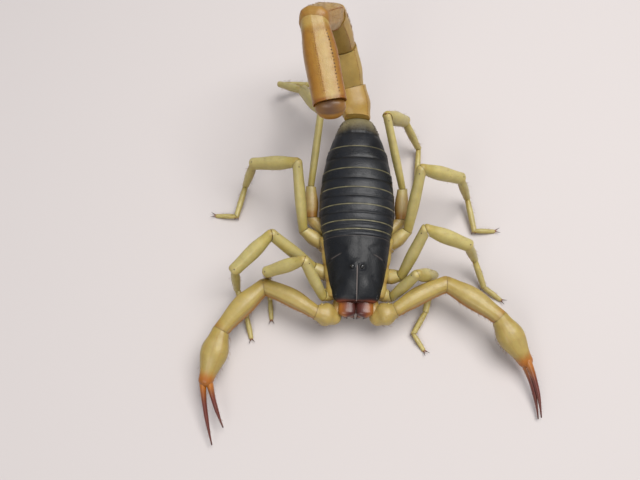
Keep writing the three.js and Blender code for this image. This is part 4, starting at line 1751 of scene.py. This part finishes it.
@dataclass(frozen=True)
class LegSizes:
    """The sizes that all the legs share.

    Lengths run from the first to the fourth pair, and girths are each segment's widths and depths.
    """

    lengths: dict[str, tuple[float, float, float, float]] = field(default_factory=lambda: {
        "trochanter": (3.2, 3.9, 5.0, 6.8),
        "femur": (10.5, 12.5, 13.9, 16.0),
        "patella": (8.9, 10.1, 11.0, 11.1),
        "tibia": (7.7, 9.1, 10.3, 9.4),
        "basitarsus": (5.0, 6.2, 7.4, 9.4),
        "telotarsus": (3.8, 4.2, 4.5, 5.4),
    })
    girths: dict[str, tuple[Triple, Triple]] = field(default_factory=lambda: {
        "coxa": ((2.6, 3.0, 2.8), (2.8, 2.9, 2.6)),
        "trochanter": ((2.4, 3.0, 2.1), (2.4, 2.9, 2.2)),
        "femur": ((1.9, 2.35, 2.0), (2.1, 2.8, 2.4)),
        "patella": ((1.9, 2.8, 2.3), (2.1, 3.1, 2.5)),
        "tibia": ((1.4, 1.65, 1.3), (1.6, 1.9, 1.4)),
        "basitarsus": ((1.1, 1.3, 1.15), (1.1, 1.35, 1.15)),
        "telotarsus": ((0.9, 1.1, 0.9), (0.9, 1.1, 0.9)),
    })
    girth: tuple[float, float, float, float] = (0.94, 1.03, 1.0, 1.0)
    hind_femur_width: Triple = (1.4, 1.6, 1.5)
    hips: tuple[Triple, ...] = ((4.3, -9.8, 5.6), (5.5, -6.3, 5.6), (7.0, 0.4, 5.9), (9.4, 6.4, 6.0))
    coxa_roots: tuple[Triple, ...] = ((1.6, -8.4, 5.2), (1.8, -5.6, 5.1), (2.0, -3.0, 5.0), (2.0, -0.6, 5.0))
    tarsus_joint: float = 1.1
    foot: float = 0.26
    claw_length: float = 1.5
    claw_spread: float = 24
    gap: float = 0.1
    rim: float = 0.1


class Leg:
    """One walking leg from its hip to its claws."""

    UPPER = ("trochanter", "femur", "patella", "tibia")
    LOWER = ("basitarsus", "telotarsus")
    SECTIONS = {
        "trochanter": Section(sides=20, square=2.2),
        "femur": Section(sides=24, square=2.2, keels=(Keel(255, 0.06, 14), Keel(95, 0.03, 12))),
        "patella": Section(
            sides=24, square=2.2, keels=(Keel(255, 0.06, 14), Keel(60, 0.03, 12), Keel(120, 0.03, 12))
        ),
        "tibia": Section(sides=20, square=2.1, keels=(Keel(90, 0.04, 16),)),
        "basitarsus": Section(sides=16, square=2.1),
        "telotarsus": Section(sides=16, square=2.0),
    }

    def __init__(self, pose: LegPose, sizes: LegSizes) -> None:
        """Lays the leg out.

        Args:
            pose: How the leg stands.
            sizes: The sizes that all the legs share.
        """
        self.pose, self.sizes = pose, sizes
        self.label = f"{pose.side.label}_{pose.pair}"
        hip = sizes.hips[pose.pair - 1]
        self.hip = Vector((pose.side.value * hip[0], hip[1], hip[2]))
        upper = [self._segment(name, *getattr(pose, name)) for name in self.UPPER]
        ankle = self.hip.z + sum(one.along.z * one.length for one in upper)
        lower = []
        for name, heading, low in zip(self.LOWER, pose.tarsi, (sizes.tarsus_joint, sizes.foot)):
            pitch = math.degrees(math.asin((low - ankle) / self._length(name)))
            lower.append(self._segment(name, heading, pitch))
            ankle = low
        self.segments = chain(self.hip, [*upper, *lower])
        self.named = dict(zip((*self.UPPER, *self.LOWER), self.segments))

    def _length(self, name: str) -> float:
        """The length of a segment of this leg."""
        own = getattr(self.pose, f"{name}_length", None)
        return own or self.sizes.lengths[name][self.pose.pair - 1]

    def _segment(self, name: str, heading: float, pitch: float) -> Segment:
        """Makes one segment of this leg.

        Args:
            name: Which segment.
            heading: Its heading in degrees.
            pitch: Its pitch in degrees.

        Returns:
            The segment, with its place still to be set.
        """
        along = toward(heading, pitch)
        girth = self.sizes.girth[self.pose.pair - 1]
        width, depth = (tuple(value * girth for value in sizes) for sizes in self.sizes.girths[name])
        if name == "femur" and self.pose.pair == 4:
            width = self.sizes.hind_femur_width
        return Segment(
            f"leg_{name}", Vector(), along, level_side(along), self._length(name), width, depth,
            section=self.SECTIONS[name], rings=8, paint=self._paint(name, self.pose.pair),
            swellings=((0.96, 0.06, 0.08),) if name in self.UPPER[1:] else (), bluntness=0.45,
        )

    @staticmethod
    def _paint(name: str, pair: int) -> Painter:
        """Chooses the markings of a leg segment: browner at the joints and by the hip, with a painted highlight
        along the top.

        Args:
            name: Which segment.
            pair: Which pair of legs.

        Returns:
            What marks the segment.
        """

        def masks(t: Rows, angle: Rows) -> Masks:
            """Marks the segment by its length and direction."""
            ends = step(0.95, 1.0, t) + (1 - step(0.0, 0.05, t))
            hip = (0.9 if pair == 4 else 0.4) * (1 - step(0.4, 1.2, t)) if name == "trochanter" else 0 * t
            warm = 0.04 + hip + 0.18 * ends + 0.4 * near_angle(angle, 270, 40)
            dark = 0.1 * bump(1.0, 0.02, t) + 0.12 * hip
            # The paler streak along the top of each segment is a painted highlight, as the top is lit from above.
            pale = 0.5 * near_angle(angle, 90, 50) * step(0.1, 0.3, t)
            return warm, dark, pale

        return masks

    def build(self) -> None:
        """Builds the leg's shells, claws, joint skins and knee spots."""
        bodies = [dressed(one.build(), STRAW) for one in self.segments]
        parted(bodies, self.segments, self.sizes.gap, self.sizes.rim)
        first = self.segments[0]
        Bench.cut(bodies[0], self.hip + first.along * 0.12, -first.along)
        foot = [*bodies[3:], *self._claws(), *self._spurs()]
        whole = (("thigh", "femur", bodies[:2]), ("knee", "patella", [bodies[2], *self._knee_spots()]))
        for name, solid, parts in (*whole, ("foot", "tibia", foot)):
            piece = Bench.join(f"leg_{self.label}_{name}", parts)
            if name == "foot":
                Bench.cut(piece, Vector((0, 0, 0)), Vector((0, 0, -1)))
            Stand.settle(piece, STRAW, Slot.STRAW, f"leg_{self.label}_{solid}")
        self._joint_skins()

    def _knee_spots(self) -> list[Body]:
        """Builds the small dark knob on top of the knee and of the joint after it.

        Returns:
            The knobs as one object.
        """
        spots = []
        for name, turn, at in (("femur", 14, 0.95), ("patella", -20, 0.965)):
            place, out = self.named[name].surface(at, mirrored(90 + turn, self.pose.side))
            spots.append((place - out * 0.06, out, 0.17))
        knobs = Bead.strew("knee_spot", spots)
        Bench.refined(knobs, 1)
        return [marked(dressed(knobs, RED_BROWN), dark=0.9)]

    def _claws(self) -> list[Body]:
        """Builds the two curved claws at the tip of the foot.

        Returns:
            The claws.
        """
        foot, heading = self.named["telotarsus"], self.pose.tarsi[1]
        made = []
        for turn in (-1, 1):
            along = toward(heading + turn * self.sizes.claw_spread, 8)
            start = foot.end + Vector((0, 0, 0.12)) - along * 0.2
            claw = Segment(
                "claw", start, along, -level_side(along).cross(along), self.sizes.claw_length + 0.1,
                (0.42, 0.36, 0.08), (0.34, 0.3, 0.08), section=Section(sides=10), rings=6,
                hook=-0.6 * self.sizes.claw_spread, peak=0.2,
                paint=lambda t, angle: (0 * t + 0.5, step(0.2, 0.8, t), 0 * t),
            )
            made.append(dressed(claw.build(), RED_BROWN))
        return made

    def _spurs(self) -> list[Body]:
        """Builds the pair of small spurs at the end of the long tarsus.

        Returns:
            The spurs.
        """
        host = self.named["basitarsus"]
        made = []
        for angle in (235, 305):
            place, out = host.surface(0.97, angle)
            spur = Segment(
                "spur", place - out * 0.1, (out + host.along * 1.2).normalized(), host.side, 0.9,
                (0.3, 0.24, 0.07), (0.3, 0.24, 0.07), section=Section(sides=8), rings=3, peak=0.3,
                paint=lambda t, angle: (0 * t + 0.4, step(0.4, 1.0, t), 0 * t),
            )
            made.append(dressed(spur.build(), RED_BROWN))
        return made

    def _joint_skins(self) -> None:
        """Builds the soft skin inside each joint of the leg."""
        skins = []
        for first, second in zip(self.segments, self.segments[1:]):
            size = (0.8 * min(first.width[2], second.width[0]), 0.8 * min(first.depth[2], second.depth[0]))
            across = first.side
            skins.append(joint_skin(
                first, second, lambda bend: bend.cross(across.cross(bend)).normalized(), size, 0.7,
                Section(sides=16),
            ))
        whole = marked(Bench.join(f"leg_{self.label}_joint_skins", skins), warm=0.5, dark=0.2)
        Stand.settle(whole, JOINT_SKIN, Slot.STRAW, smooth=180)


# ---- pedipalps


@dataclass(frozen=True)
class FingerPose:
    """The lie of one finger of a pincer."""

    length: float
    heading: float
    pitch: float
    hook: float


@dataclass(frozen=True)
class PalpPose:
    """The heading and pitch of one arm's segments, and its two fingers."""

    side: Side
    trochanter: tuple[float, float]
    femur: tuple[float, float]
    patella: tuple[float, float]
    palm: tuple[float, float]
    fixed: FingerPose
    moving: FingerPose
    finger_roll: float


PALP_POSES = (
    PalpPose(
        Side.RIGHT, (177.4, 26.7), (154, 0), (-131, -3), (-104, -12),
        FingerPose(9.0, -76, -14, -12), FingerPose(12.3, -84, -14, -11), 0,
    ),
    PalpPose(
        Side.LEFT, (16.2, 23.8), (29, 2), (-34, 1), (-55, -21),
        FingerPose(10.8, -64, -17, 22), FingerPose(11.0, -65, -12, 22), 100,
    ),
)


@dataclass(frozen=True)
class PalpSizes:
    """The sizes that both arms share."""

    hip: Triple = (4.2, -14.7, 5.0)
    root: Triple = (1.7, -9.0, 5.2)
    coxa: tuple[Triple, Triple] = ((2.8, 3.2, 2.6), (3.6, 3.4, 2.8))
    lengths: tuple[float, ...] = (4.18, 11.7, 12.1, 10.0)
    widths: tuple[Triple, ...] = ((3.4, 4.6, 2.9), (2.6, 3.5, 3.1), (3.0, 4.1, 3.0), (3.3, 5.4, 2.9))
    depths: tuple[Triple, ...] = ((3.0, 4.2, 2.9), (2.6, 3.4, 3.0), (3.0, 4.0, 3.0), (3.0, 4.7, 2.8))
    arches: tuple[float, ...] = (0.0, 0.5, 0.4, 0.0)
    finger_width: Triple = (1.35, 0.85, 0.28)
    finger_depth: Triple = (1.75, 1.05, 0.32)
    finger_offset: float = 0.7
    grain_rows: tuple[Pair, ...] = ((40, 0.08), (350, 0.19), (0, 0.14), (12, 0.1), (142, 0.07))
    gap: float = 0.06
    rim: float = 0.07


class Pedipalp:
    """One arm with its pincer."""

    NAMES = ("trochanter", "femur", "patella", "palm")

    def __init__(self, pose: PalpPose, sizes: PalpSizes, seed: int) -> None:
        """Lays the arm out.

        Args:
            pose: How the arm is held.
            sizes: The sizes that both arms share.
            seed: Fixes the unevenness of its grains.
        """
        self.pose, self.sizes = pose, sizes
        self.rng = default_rng(seed)
        hip = sizes.hip
        self.hip = Vector((pose.side.value * hip[0], hip[1], hip[2]))
        self.segments = chain(self.hip, [self._segment(index, name) for index, name in enumerate(self.NAMES)])
        self.named = dict(zip(self.NAMES, self.segments))
        self.fingers = {"fixed": self._finger("fixed", 1), "moving": self._finger("moving", -1)}

    def at(self, angle: float) -> float:
        """A direction round the limb, given for the right arm."""
        return mirrored(angle, self.pose.side)

    def _segment(self, index: int, name: str) -> Segment:
        """Makes one segment of the arm.

        Args:
            index: Its number from the hip.
            name: Its name.

        Returns:
            The segment, with its place still to be set.
        """
        along = toward(*getattr(self.pose, name))
        keels = {
            "trochanter": (Keel(self.at(40), 0.04, 14),),
            "femur": tuple(Keel(self.at(a), 0.07, 8) for a in (40, 142, 352, 222)),
            "patella": tuple(Keel(self.at(a), 0.06, 8) for a in (38, 140, 352, 225)),
            "palm": tuple(Keel(self.at(a), 0.02, 8) for a in (20, 50, 78, 105, 135, 175, 300)),
        }[name]
        swell_ends = ((0.97, 0.05, 0.05), (0.06, 0.06, 0.04)) if name != "palm" else ((0.05, 0.05, 0.05),)
        return Segment(
            f"arm_{name}", Vector(), along, level_side(along), self.sizes.lengths[index],
            self.sizes.widths[index], self.sizes.depths[index], rings=12, swellings=swell_ends,
            section=Section(sides=40, square=2.35, keels=keels), peak=0.42 if name == "palm" else 0.45,
            arch=-self.pose.side.value * self.sizes.arches[index], paint=self._paint(name),
        )

    def _paint(self, name: str) -> Painter:
        """Chooses the markings of an arm segment: orange along its front edge and at its joints, with a painted
        highlight along the top.

        Args:
            name: Which segment.

        Returns:
            What marks the segment.
        """
        fore = self.at(350)

        def masks(t: Rows, angle: Rows) -> Masks:
            """Marks the segment by its length and direction."""
            edge = near_angle(angle, fore, 24)
            ends = 0.16 * step(0.93, 1.0, t) + 0.12 * (1 - step(0.0, 0.05, t))
            # The paler band along the top is a painted highlight, as the top is lit from above.
            pale = 0.4 * near_angle(angle, 90, 50) * step(0.1, 0.3, t) * (1 - step(0.7, 0.95, t))
            dark = 0.15 * bump(1.0, 0.012, t) + 0.1 * bump(0.0, 0.012, t)
            if name == "trochanter":
                return 0.1 + 0.15 * ends, 0 * t, 0.2 + 0 * t
            if name == "palm":
                tips = step(0.76, 1.0, t)
                rows = sum(near_angle(angle, self.at(a), 3) for a in (52, 88, 128)) * step(0.05, 0.15, t)
                dark = 0.1 * rows * (1 - step(0.6, 0.9, t)) + 0.25 * step(0.95, 1.1, t)
                return 0.05 + 0.95 * tips + 0.2 * rows, dark, pale
            knob = step(0.84, 0.98, t) * near_angle(angle, self.at(150), 50) if name == "patella" else 0 * t
            return 0.03 + 0.95 * edge + ends + 0.35 * knob, dark, pale * (1 - edge)

        return masks

    def _finger(self, kind: str, turn: int) -> Segment:
        """One finger of the pincer.

        Args:
            kind: Which finger, fixed or moving.
            turn: Which side of the palm it stands on, with 1 for the inner one.

        Returns:
            The finger as a segment.
        """
        pose: FingerPose = getattr(self.pose, kind)
        palm, sizes = self.named["palm"], self.sizes
        along = toward(pose.heading, pose.pitch)
        roll = math.radians(self.pose.finger_roll)
        away = palm.side * math.cos(roll) + palm.top * math.sin(roll)
        start = palm.end + away * turn * self.pose.side.value * sizes.finger_offset

        def masks(t: Rows, angle: Rows) -> Masks:
            """Runs from orange at the root to red brown and a dark tip."""
            dark = 0.25 * step(0.3, 0.9, t) + 0.5 * step(0.93, 1.0, t)
            return 0.95 * (1 - step(0.02, 0.42, t)), dark, 0 * t

        return Segment(
            f"{kind}_finger", start, along, level_side(along), pose.length, sizes.finger_width,
            sizes.finger_depth, rings=14, hook=pose.hook, peak=0.5, paint=masks,
            section=Section(sides=24, square=2.1, keels=(Keel(90, 0.05, 12), Keel(200, 0.03, 12))),
        )

    def build(self) -> None:
        """Builds the arm's shells, its fingers with their teeth, and its joint skins."""
        label = self.pose.side.label
        bodies = [dressed(one.build(), ARM) for one in self.segments]
        parted(bodies, self.segments, self.sizes.gap, self.sizes.rim)
        for name, body in zip(self.NAMES[:3], bodies):
            whole = Bench.join(f"arm_{label}_{name}", [body, *self._grains(name)])
            Stand.settle(whole, ARM, Slot.STRAW, f"pedipalp_{label}_{name}")
        fixed, moving = (dressed(self.fingers[kind].build(), RED_BROWN) for kind in ("fixed", "moving"))
        hand = Bench.join(f"arm_{label}_hand", [bodies[3], fixed, self._teeth("fixed")])
        Stand.settle(hand, ARM, Slot.AMBER, f"pedipalp_{label}_palm")
        finger = Bench.join(f"arm_{label}_moving_finger", [moving, self._teeth("moving")])
        Stand.settle(finger, RED_BROWN, Slot.RED, f"pedipalp_{label}_finger")
        self._joint_skins(label)

    def _grains(self, name: str) -> list[Body]:
        """Builds the grains of the keels of one segment, and the tooth of the first.

        Args:
            name: Which segment.

        Returns:
            The grains and the tooth.
        """
        host = self.named[name]
        if name != "trochanter":
            rows = [KeelRow(self.at(a), 0.08, 0.94, 0.3, r) for a, r in self.sizes.grain_rows]
            spots = [spot for row in rows for spot in row.spots(host, self.rng)]
            return [marked(dressed(Bead.strew("arm_grain", spots), GRAIN), warm=0.95, pale=0.5)]
        rows = [KeelRow(self.at(a), 0.25, 0.8, 0.34, 0.1) for a in (30, 60, 140)]
        spots = [spot for row in rows for spot in row.spots(host, self.rng)]
        place, out = host.surface(0.8, self.at(150))
        tooth = Bead.strew("arm_tooth", [(place, out, 0.42)])
        Bench.refined(tooth, 1)
        grains = marked(dressed(Bead.strew("arm_grain", spots), ARM), warm=0.3, pale=0.3)
        return [marked(dressed(tooth, ARM), pale=0.4), grains]

    def _teeth(self, kind: str) -> Body:
        """Builds the row of dark teeth along the biting edge of a finger.

        Args:
            kind: Which finger, fixed or moving.

        Returns:
            The teeth.
        """
        finger = self.fingers[kind]
        facing = (0, 180) if self.pose.side is Side.RIGHT else (90, 270)
        inner = facing[kind == "fixed"]
        spots = KeelRow(inner, 0.16, 0.95, 0.2, 0.055).spots(finger, self.rng)
        spots += KeelRow(inner + 12, 0.2, 0.9, 1.3, 0.1).spots(finger, self.rng)
        return marked(dressed(Bead.strew("finger_teeth", spots), RED_BROWN), dark=0.85)

    def _joint_skins(self, label: str) -> None:
        """Builds the soft skin inside each joint of the arm.

        Args:
            label: The arm's side.
        """
        skins = []
        for first, second in zip(self.segments, self.segments[1:]):
            size = 0.86 * min(first.width[2], second.width[0])
            skins.append(joint_skin(first, second, level_side, (size, size), 1.2, Section(sides=20)))
        whole = marked(Bench.join(f"arm_{label}_joint_skins", skins), warm=0.6, dark=0.15)
        Stand.settle(whole, JOINT_SKIN, Slot.STRAW, smooth=180)


# ---- mouthparts and underside


@dataclass
class Chelicerae:
    """The two short jaws in front of the head shield."""

    place: Triple = (1.72, -9.6, 6.8)
    length: float = 4.8
    width: float = 3.2
    depth: float = 2.7
    broad: Triple = (1.04, 1.1, 1.06)
    high: Triple = (0.85, 1.0, 0.7)
    finger_length: float = 2.2
    finger_girth: Triple = (1.3, 1.0, 0.3)
    finger_places: Pair = (-0.6, 0.8)

    def build(self) -> None:
        """Builds both jaws with their fingers."""
        for side in Side:
            self._jaw(side)

    def _jaw(self, side: Side) -> None:
        """Builds the body of one jaw, flat against the other.

        Args:
            side: Which jaw.
        """
        inward = 180 if side is Side.LEFT else 0
        along = toward(-90, 0)
        x, y, z = self.place

        def masks(t: Rows, angle: Rows) -> Masks:
            """Orange on the outer side, dark red brown towards the front, and darker towards the middle, where the
            extra dark is painted shade between the two jaws.
            """
            dark = 0.6 * near_angle(angle, inward, 70) + 0.2 * step(0.7, 1.0, t)
            return 0.9 * near_angle(angle, 180 - inward, 62), dark, 0 * t

        body = Segment(
            "jaw", Vector((side.value * x, y, z)), along, level_side(along), self.length,
            tuple(self.width * share for share in self.broad), tuple(self.depth * share for share in self.high),
            section=Section(sides=32, square=2.3), rings=10, paint=masks,
        ).build()
        Bench.cut(body, Vector((side.value * 0.02, 0, 0)), Vector((-side.value, 0, 0)), 0.05)
        still = dressed(self._finger(side, self.finger_places[0]), RED_BROWN)
        whole = Bench.join(f"jaw_{side.label}", [dressed(body, RED_BROWN), still])
        Stand.settle(whole, RED_BROWN, Slot.RED, f"chelicera_{side.label}")
        finger = Bench.join(f"jaw_{side.label}_finger", [self._finger(side, self.finger_places[1])])
        Stand.settle(finger, RED_BROWN, Slot.RED, f"chelicera_finger_{side.label}", smooth=80)

    def _finger(self, side: Side, outward: float) -> Body:
        """Draws one short finger of a jaw.

        Args:
            side: Which jaw.
            outward: How far from the jaw's middle it stands.

        Returns:
            The finger.
        """
        x, y, z = self.place
        way = Vector((-side.value * 0.35, -0.35, -1)).normalized()
        start = Vector((side.value * (x + outward), y - self.length + 0.2, z - 0.7))
        return Segment(
            "jaw_finger", start, way, level_side(way), self.finger_length, self.finger_girth,
            self.finger_girth, section=Section(sides=16), rings=6, hook=12 * side.value,
            paint=lambda t, angle: (0.3 + 0 * t, step(0.1, 0.9, t), 0 * t),
        ).build()


@dataclass
class Underside:
    """The chest with the fixed first segments of the limbs, the breast plate and the combs."""

    legs: Sequence[Leg]
    palps: Sequence[Pedipalp]
    trunk: Trunk
    comb_root: Triple = (2.2, 3.2, 2.8)
    comb_length: float = 7.4
    comb_sweep: float = 38
    comb_teeth: int = 26

    def build(self) -> None:
        """Builds the chest and the two combs."""
        parts = []
        for leg in self.legs:
            root = leg.sizes.coxa_roots[leg.pose.pair - 1]
            parts.append(self._coxa(leg.hip, root, *leg.sizes.girths["coxa"], leg.segments[0]))
        parts += [self._coxa(palp.hip, palp.sizes.root, *palp.sizes.coxa) for palp in self.palps]
        chest = self.trunk.shell("chest", [(y, -0.1, 1.9) for y in np.linspace(-10.0, 2.6, 14)],
                                 Section(sides=40, square=2.4, underside=0.4), below=True)
        marked(chest, warm=0.3, dark=0.1, pale=0.2)
        parts += [dressed(chest, BELLY), self._hip_ledge(), self._breast_plate()]
        whole = Bench.join("chest_and_hips", parts)
        Stand.settle(whole, BELLY, Slot.BELLY, "prosoma_underside")
        for side in Side:
            self._comb(side)

    @staticmethod
    def _coxa(hip: Vector, root: Triple, width: Triple, depth: Triple, after: Segment | None = None) -> Body:
        """The fixed first segment of a limb.

        Args:
            hip: The joint at its outer end.
            root: The place of its inner end, on the animal's left.
            width: Its widths.
            depth: Its depths.
            after: The segment that it is cut off square to, or none where it holds that one in a socket.

        Returns:
            The shell.
        """
        start = Vector((math.copysign(root[0], hip.x), root[1], root[2]))
        along = (hip - start).normalized()

        def masks(t: Rows, angle: Rows) -> Masks:
            """Browner towards the outer end."""
            return 0.25 + 0.35 * step(0.5, 1.0, t), 0.3 * step(0.92, 1.0, t), 0.2 + 0 * t

        body = Segment("coxa", start, along, level_side(along), (hip - start).length, width, depth,
                       section=Section(sides=24, square=2.2), rings=6, paint=masks).build()
        if after is None:
            return dressed(body, ARM)
        Bench.cut(body, hip, after.along, 0.12)
        return dressed(body, STRAW)

    def _hip_ledge(self) -> Body:
        """Builds the crowded bases of the legs, a lobed amber ledge beside the head shield.

        Returns:
            The ledge.
        """
        ys = np.linspace(-11.8, 1.4, 30)
        places = [(float(y), -1.3, -1.1 - 0.3 * min(max((-6 - y) / 5, 0), 1)) for y in ys]
        section = Section(sides=48, square=2.3, underside=0.4)
        ledge = self.trunk.shell("hip_ledge", places, section, below=True)
        points = Bench.points(ledge)
        lobes = 0.16 * self._lobes(points) - 0.1
        Bench.swelled(ledge, lobes * step(3.0, 4.5, np.abs(points[:, 0])))
        points = Bench.points(ledge)
        Bench.put(ledge, points - (0, 0, 0.45))
        seams = 1 - self._lobes(points)
        Bench.tint(ledge, 0.35 + 0.3 * seams, 0.35 * seams**4, 0 * seams)
        return dressed(ledge, STRAW)

    @staticmethod
    def _lobes(points: Rows) -> Rows:
        """How far each point lies within a lobe of the ledge, from 0 at a seam to 1."""
        return np.abs(np.sin((points[:, 1] + 1.5) * math.pi / 3.4))

    @staticmethod
    def _breast_plate() -> Body:
        """Builds the small five-sided plate between the last hips.

        Returns:
            The plate.
        """
        middle = (0, 0.9, 3.35)
        cylinder = bpy.ops.mesh.primitive_cylinder_add
        plate = Bench.primitive(cylinder, vertices=5, radius=1.5, depth=0.5, location=middle)
        with Bench.editing(plate):
            bpy.ops.transform.resize(value=(0.85, 1.15, 1), center_override=middle)
            bpy.ops.mesh.bevel(offset=0.14, segments=3)
        return dressed(marked(Bench.applied(plate), warm=0.3, pale=0.3), BELLY)

    def _comb(self, side: Side) -> None:
        """Builds a comb: a jointed back with a row of rounded teeth.

        Args:
            side: Which side it lies on.
        """
        x, y, z = self.comb_root
        heading = self.comb_sweep if side is Side.LEFT else 180 - self.comb_sweep
        along = toward(heading, 0)
        rear = toward(heading + side.value * 90, 0)
        back = Segment(
            "comb_back", Vector((side.value * x, y, z)) + rear * 0.55, along, level_side(along),
            self.comb_length, (1.1, 1.2, 0.6), (0.5, 0.5, 0.4), section=Section(sides=20, square=2.4),
            rings=10, swellings=((0.33, 0.015, -0.12), (0.66, 0.015, -0.12)),
        )
        parts = [dressed(marked(back.build(), warm=0.4), BELLY)]
        for index in range(self.comb_teeth):
            t = (index + 0.5) / self.comb_teeth
            start = back.start + along * (t * self.comb_length) + rear * (0.35 - 0.1 * t)
            tooth = Segment(
                "comb_tooth", start, (rear + along * 0.12).normalized(), level_side(rear),
                1.25 * (1 - 0.4 * t), (0.2, 0.26, 0.2), (0.34, 0.36, 0.28), section=Section(sides=8), rings=3,
            )
            parts.append(dressed(marked(tooth.build(), pale=0.6), BELLY))
        Stand.settle(Bench.join(f"comb_{side.label}", parts), BELLY, Slot.BELLY, f"pecten_{side.label}")


# ---- bristles


@dataclass
class Bristles:
    """All the bristles of the animal, part by part."""

    legs: Sequence[Leg]
    palps: Sequence[Pedipalp]
    tail: Tail

    LEG_ROWS = (
        ("femur", 34, (0.4, 0.9), {"thick": 0.035, "angles": (250, 290, 270), "spread": 20}),
        ("patella", 44, (0.4, 1.1), {"thick": 0.035, "angles": (250, 290, 90), "spread": 22}),
        ("tibia", 70, (0.5, 1.4), {"thick": 0.04, "angles": (90, 200, 340), "spread": 26}),
        ("basitarsus", 70, (0.5, 1.3), {"thick": 0.04, "angles": (90, 45, 135, 225, 315), "spread": 14}),
        ("telotarsus", 44, (0.3, 0.7), {"thick": 0.04, "angles": (20, 160, 90), "spread": 20, "span": (0.05, 0.8)}),
    )
    ARM_ROWS = (("trochanter", 26), ("femur", 80), ("patella", 120), ("palm", 90))
    KEELS = {"thick": 0.035, "angles": (215, 325, 180, 0, 235, 305), "spread": 12, "lean": 0.9, "rise": 0.8}
    FANS = {"thick": 0.08, "angles": (200, 230, 260, 290, 320), "spread": 16, "lean": 1.0, "rise": 0.25}
    FACE = {"thick": 0.03, "angles": (236, 284), "spread": 6, "lean": 0.8, "rise": 0.3}

    def build(self) -> None:
        """Grows the coats of the arms, the legs and the tail."""
        for coat in (self._arms(), self._legs(), self._tail()):
            Stand.settle(coat.build(), BRISTLE, smooth=180)

    def _arms(self) -> Coat:
        """Grows the bristles of the arms, longest along their front edge.

        Returns:
            The coat.
        """
        coat = Coat("arm_bristles", 3)
        for palp in self.palps:
            fore = [palp.at(a) for a in (320, 300, 340)]
            for name, count in self.ARM_ROWS:
                coat.grow(palp.named[name], count, (0.5, 1.4), thick=0.04, angles=fore, spread=14)
                coat.grow(palp.named[name], count // 3, (0.4, 1.0), thick=0.035)
            for finger in palp.fingers.values():
                coat.grow(finger, 60, (0.3, 0.8), thick=0.035)
        return coat

    def _legs(self) -> Coat:
        """Grows the bristles of the legs.

        Returns:
            The coat.
        """
        coat = Coat("leg_bristles", 5)
        for leg in self.legs:
            for name, count, length, lie in self.LEG_ROWS:
                coat.grow(leg.named[name], count, length, **lie)
        return coat

    def _tail(self) -> Coat:
        """Grows the bristles of the tail, with dark fans on its third and fourth rings.

        Returns:
            The coat.
        """
        coat = Coat("tail_bristles", 9)
        for number, one in enumerate(self.tail.laid, start=1):
            coat.grow(one, 70, (0.4, 1.1), **self.KEELS)
            if number in (3, 4):
                coat.grow(one, 170, (0.8, 1.8), **self.FANS)
            if number == 5:
                coat.grow(one, 150, (0.5, 1.1), **self.FACE)
        return coat


# ---- studio


@dataclass
class Studio:
    """The pale floor, the soft lights and the camera."""

    target: Triple = (-7.54, 4.12, 0.0)
    distance: float = 151.9
    azimuth: float = -1.0
    elevation: float = 66.0
    roll: float = 0.57
    lens: float = 39.375

    def build(self) -> None:
        """Sets up the floor, the lights and the camera."""
        self._floor()
        self._light("overhead", (0.11, 0.06, 0.4), 0.3, 1.8, (1.0, 0.98, 0.95))
        self._light("front", (-0.16, -0.34, 0.34), 0.22, 0.6, (1.0, 0.97, 0.93))
        world = bpy.data.worlds.new("room")
        bpy.context.scene.world = world
        world.use_nodes = True
        room = world.node_tree.nodes["Background"].inputs
        room["Color"].default_value = (0.86, 0.9, 1.0, 1)
        room["Strength"].default_value = 0.32
        bpy.context.scene.view_settings.view_transform = "Standard"
        self._camera()

    def _camera(self) -> None:
        """Makes the camera and points it at the animal."""
        a, e = math.radians(self.azimuth), math.radians(self.elevation)
        forward = Vector((math.sin(a) * math.cos(e), math.cos(a) * math.cos(e), -math.sin(e)))
        data = bpy.data.cameras.new("camera")
        data.lens, data.sensor_width = self.lens, 36
        data.clip_start, data.clip_end = 0.005, 5
        camera = bpy.data.objects.new("camera", data)
        bpy.context.scene.collection.objects.link(camera)
        camera.location = Stand.place(Vector(self.target) - forward * self.distance)
        right = Vector((math.cos(a), -math.sin(a), 0))
        upward = right.cross(forward)
        turn = math.radians(self.roll)
        across = right * math.cos(turn) + upward * math.sin(turn)
        upright = upward * math.cos(turn) - right * math.sin(turn)
        camera.rotation_euler = Matrix((across, upright, -forward)).transposed().to_euler()
        bpy.context.scene.camera = camera

    @staticmethod
    def _light(name: str, place: Triple, size: float, power: float, tone: Triple) -> None:
        """Hangs one soft square light that faces the animal.

        Args:
            name: Its name.
            place: Where it hangs, in metres.
            size: Its width in metres.
            power: Its power in watts.
            tone: Its colour.
        """
        data = bpy.data.lights.new(name, "AREA")
        data.size, data.energy, data.color = size, power, tone
        lamp = bpy.data.objects.new(name, data)
        bpy.context.scene.collection.objects.link(lamp)
        lamp.location = place
        lamp.rotation_euler = (-Vector(place)).to_track_quat("-Z", "Y").to_euler()

    @staticmethod
    def _floor() -> None:
        """Lays the pale floor."""
        floor = Bench.primitive(bpy.ops.mesh.primitive_plane_add, size=3)
        floor.name = "floor"
        paint = bpy.data.materials.new("pale floor")
        paint.use_nodes = True
        shader = paint.node_tree.nodes["Principled BSDF"]
        shader.inputs["Base Color"].default_value = colour("#cfc8c6")
        shader.inputs["Roughness"].default_value = 0.9
        floor.data.materials.append(paint)


# ---- assembly


def main() -> None:
    """Builds the animal part by part and sets up the studio."""
    logging.basicConfig(level=logging.INFO, format="%(message)s")
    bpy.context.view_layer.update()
    trunk = Trunk()
    trunk.carapace()
    trunk.tergites()
    trunk.soft_body()
    trunk.belly_plates()
    tail = Tail()
    tail.build()
    sizes = LegSizes()
    legs = [Leg(pose, sizes) for pose in LEG_POSES]
    palps = [Pedipalp(pose, PalpSizes(), seed) for seed, pose in enumerate(PALP_POSES, start=31)]
    for limb in (*legs, *palps):
        limb.build()
    Chelicerae().build()
    Underside(legs, palps, trunk).build()
    Bristles(legs, palps, tail).build()
    Studio().build()
    LOG.info("%d pieces", Stand.count)


if __name__ == "__main__":
    main()
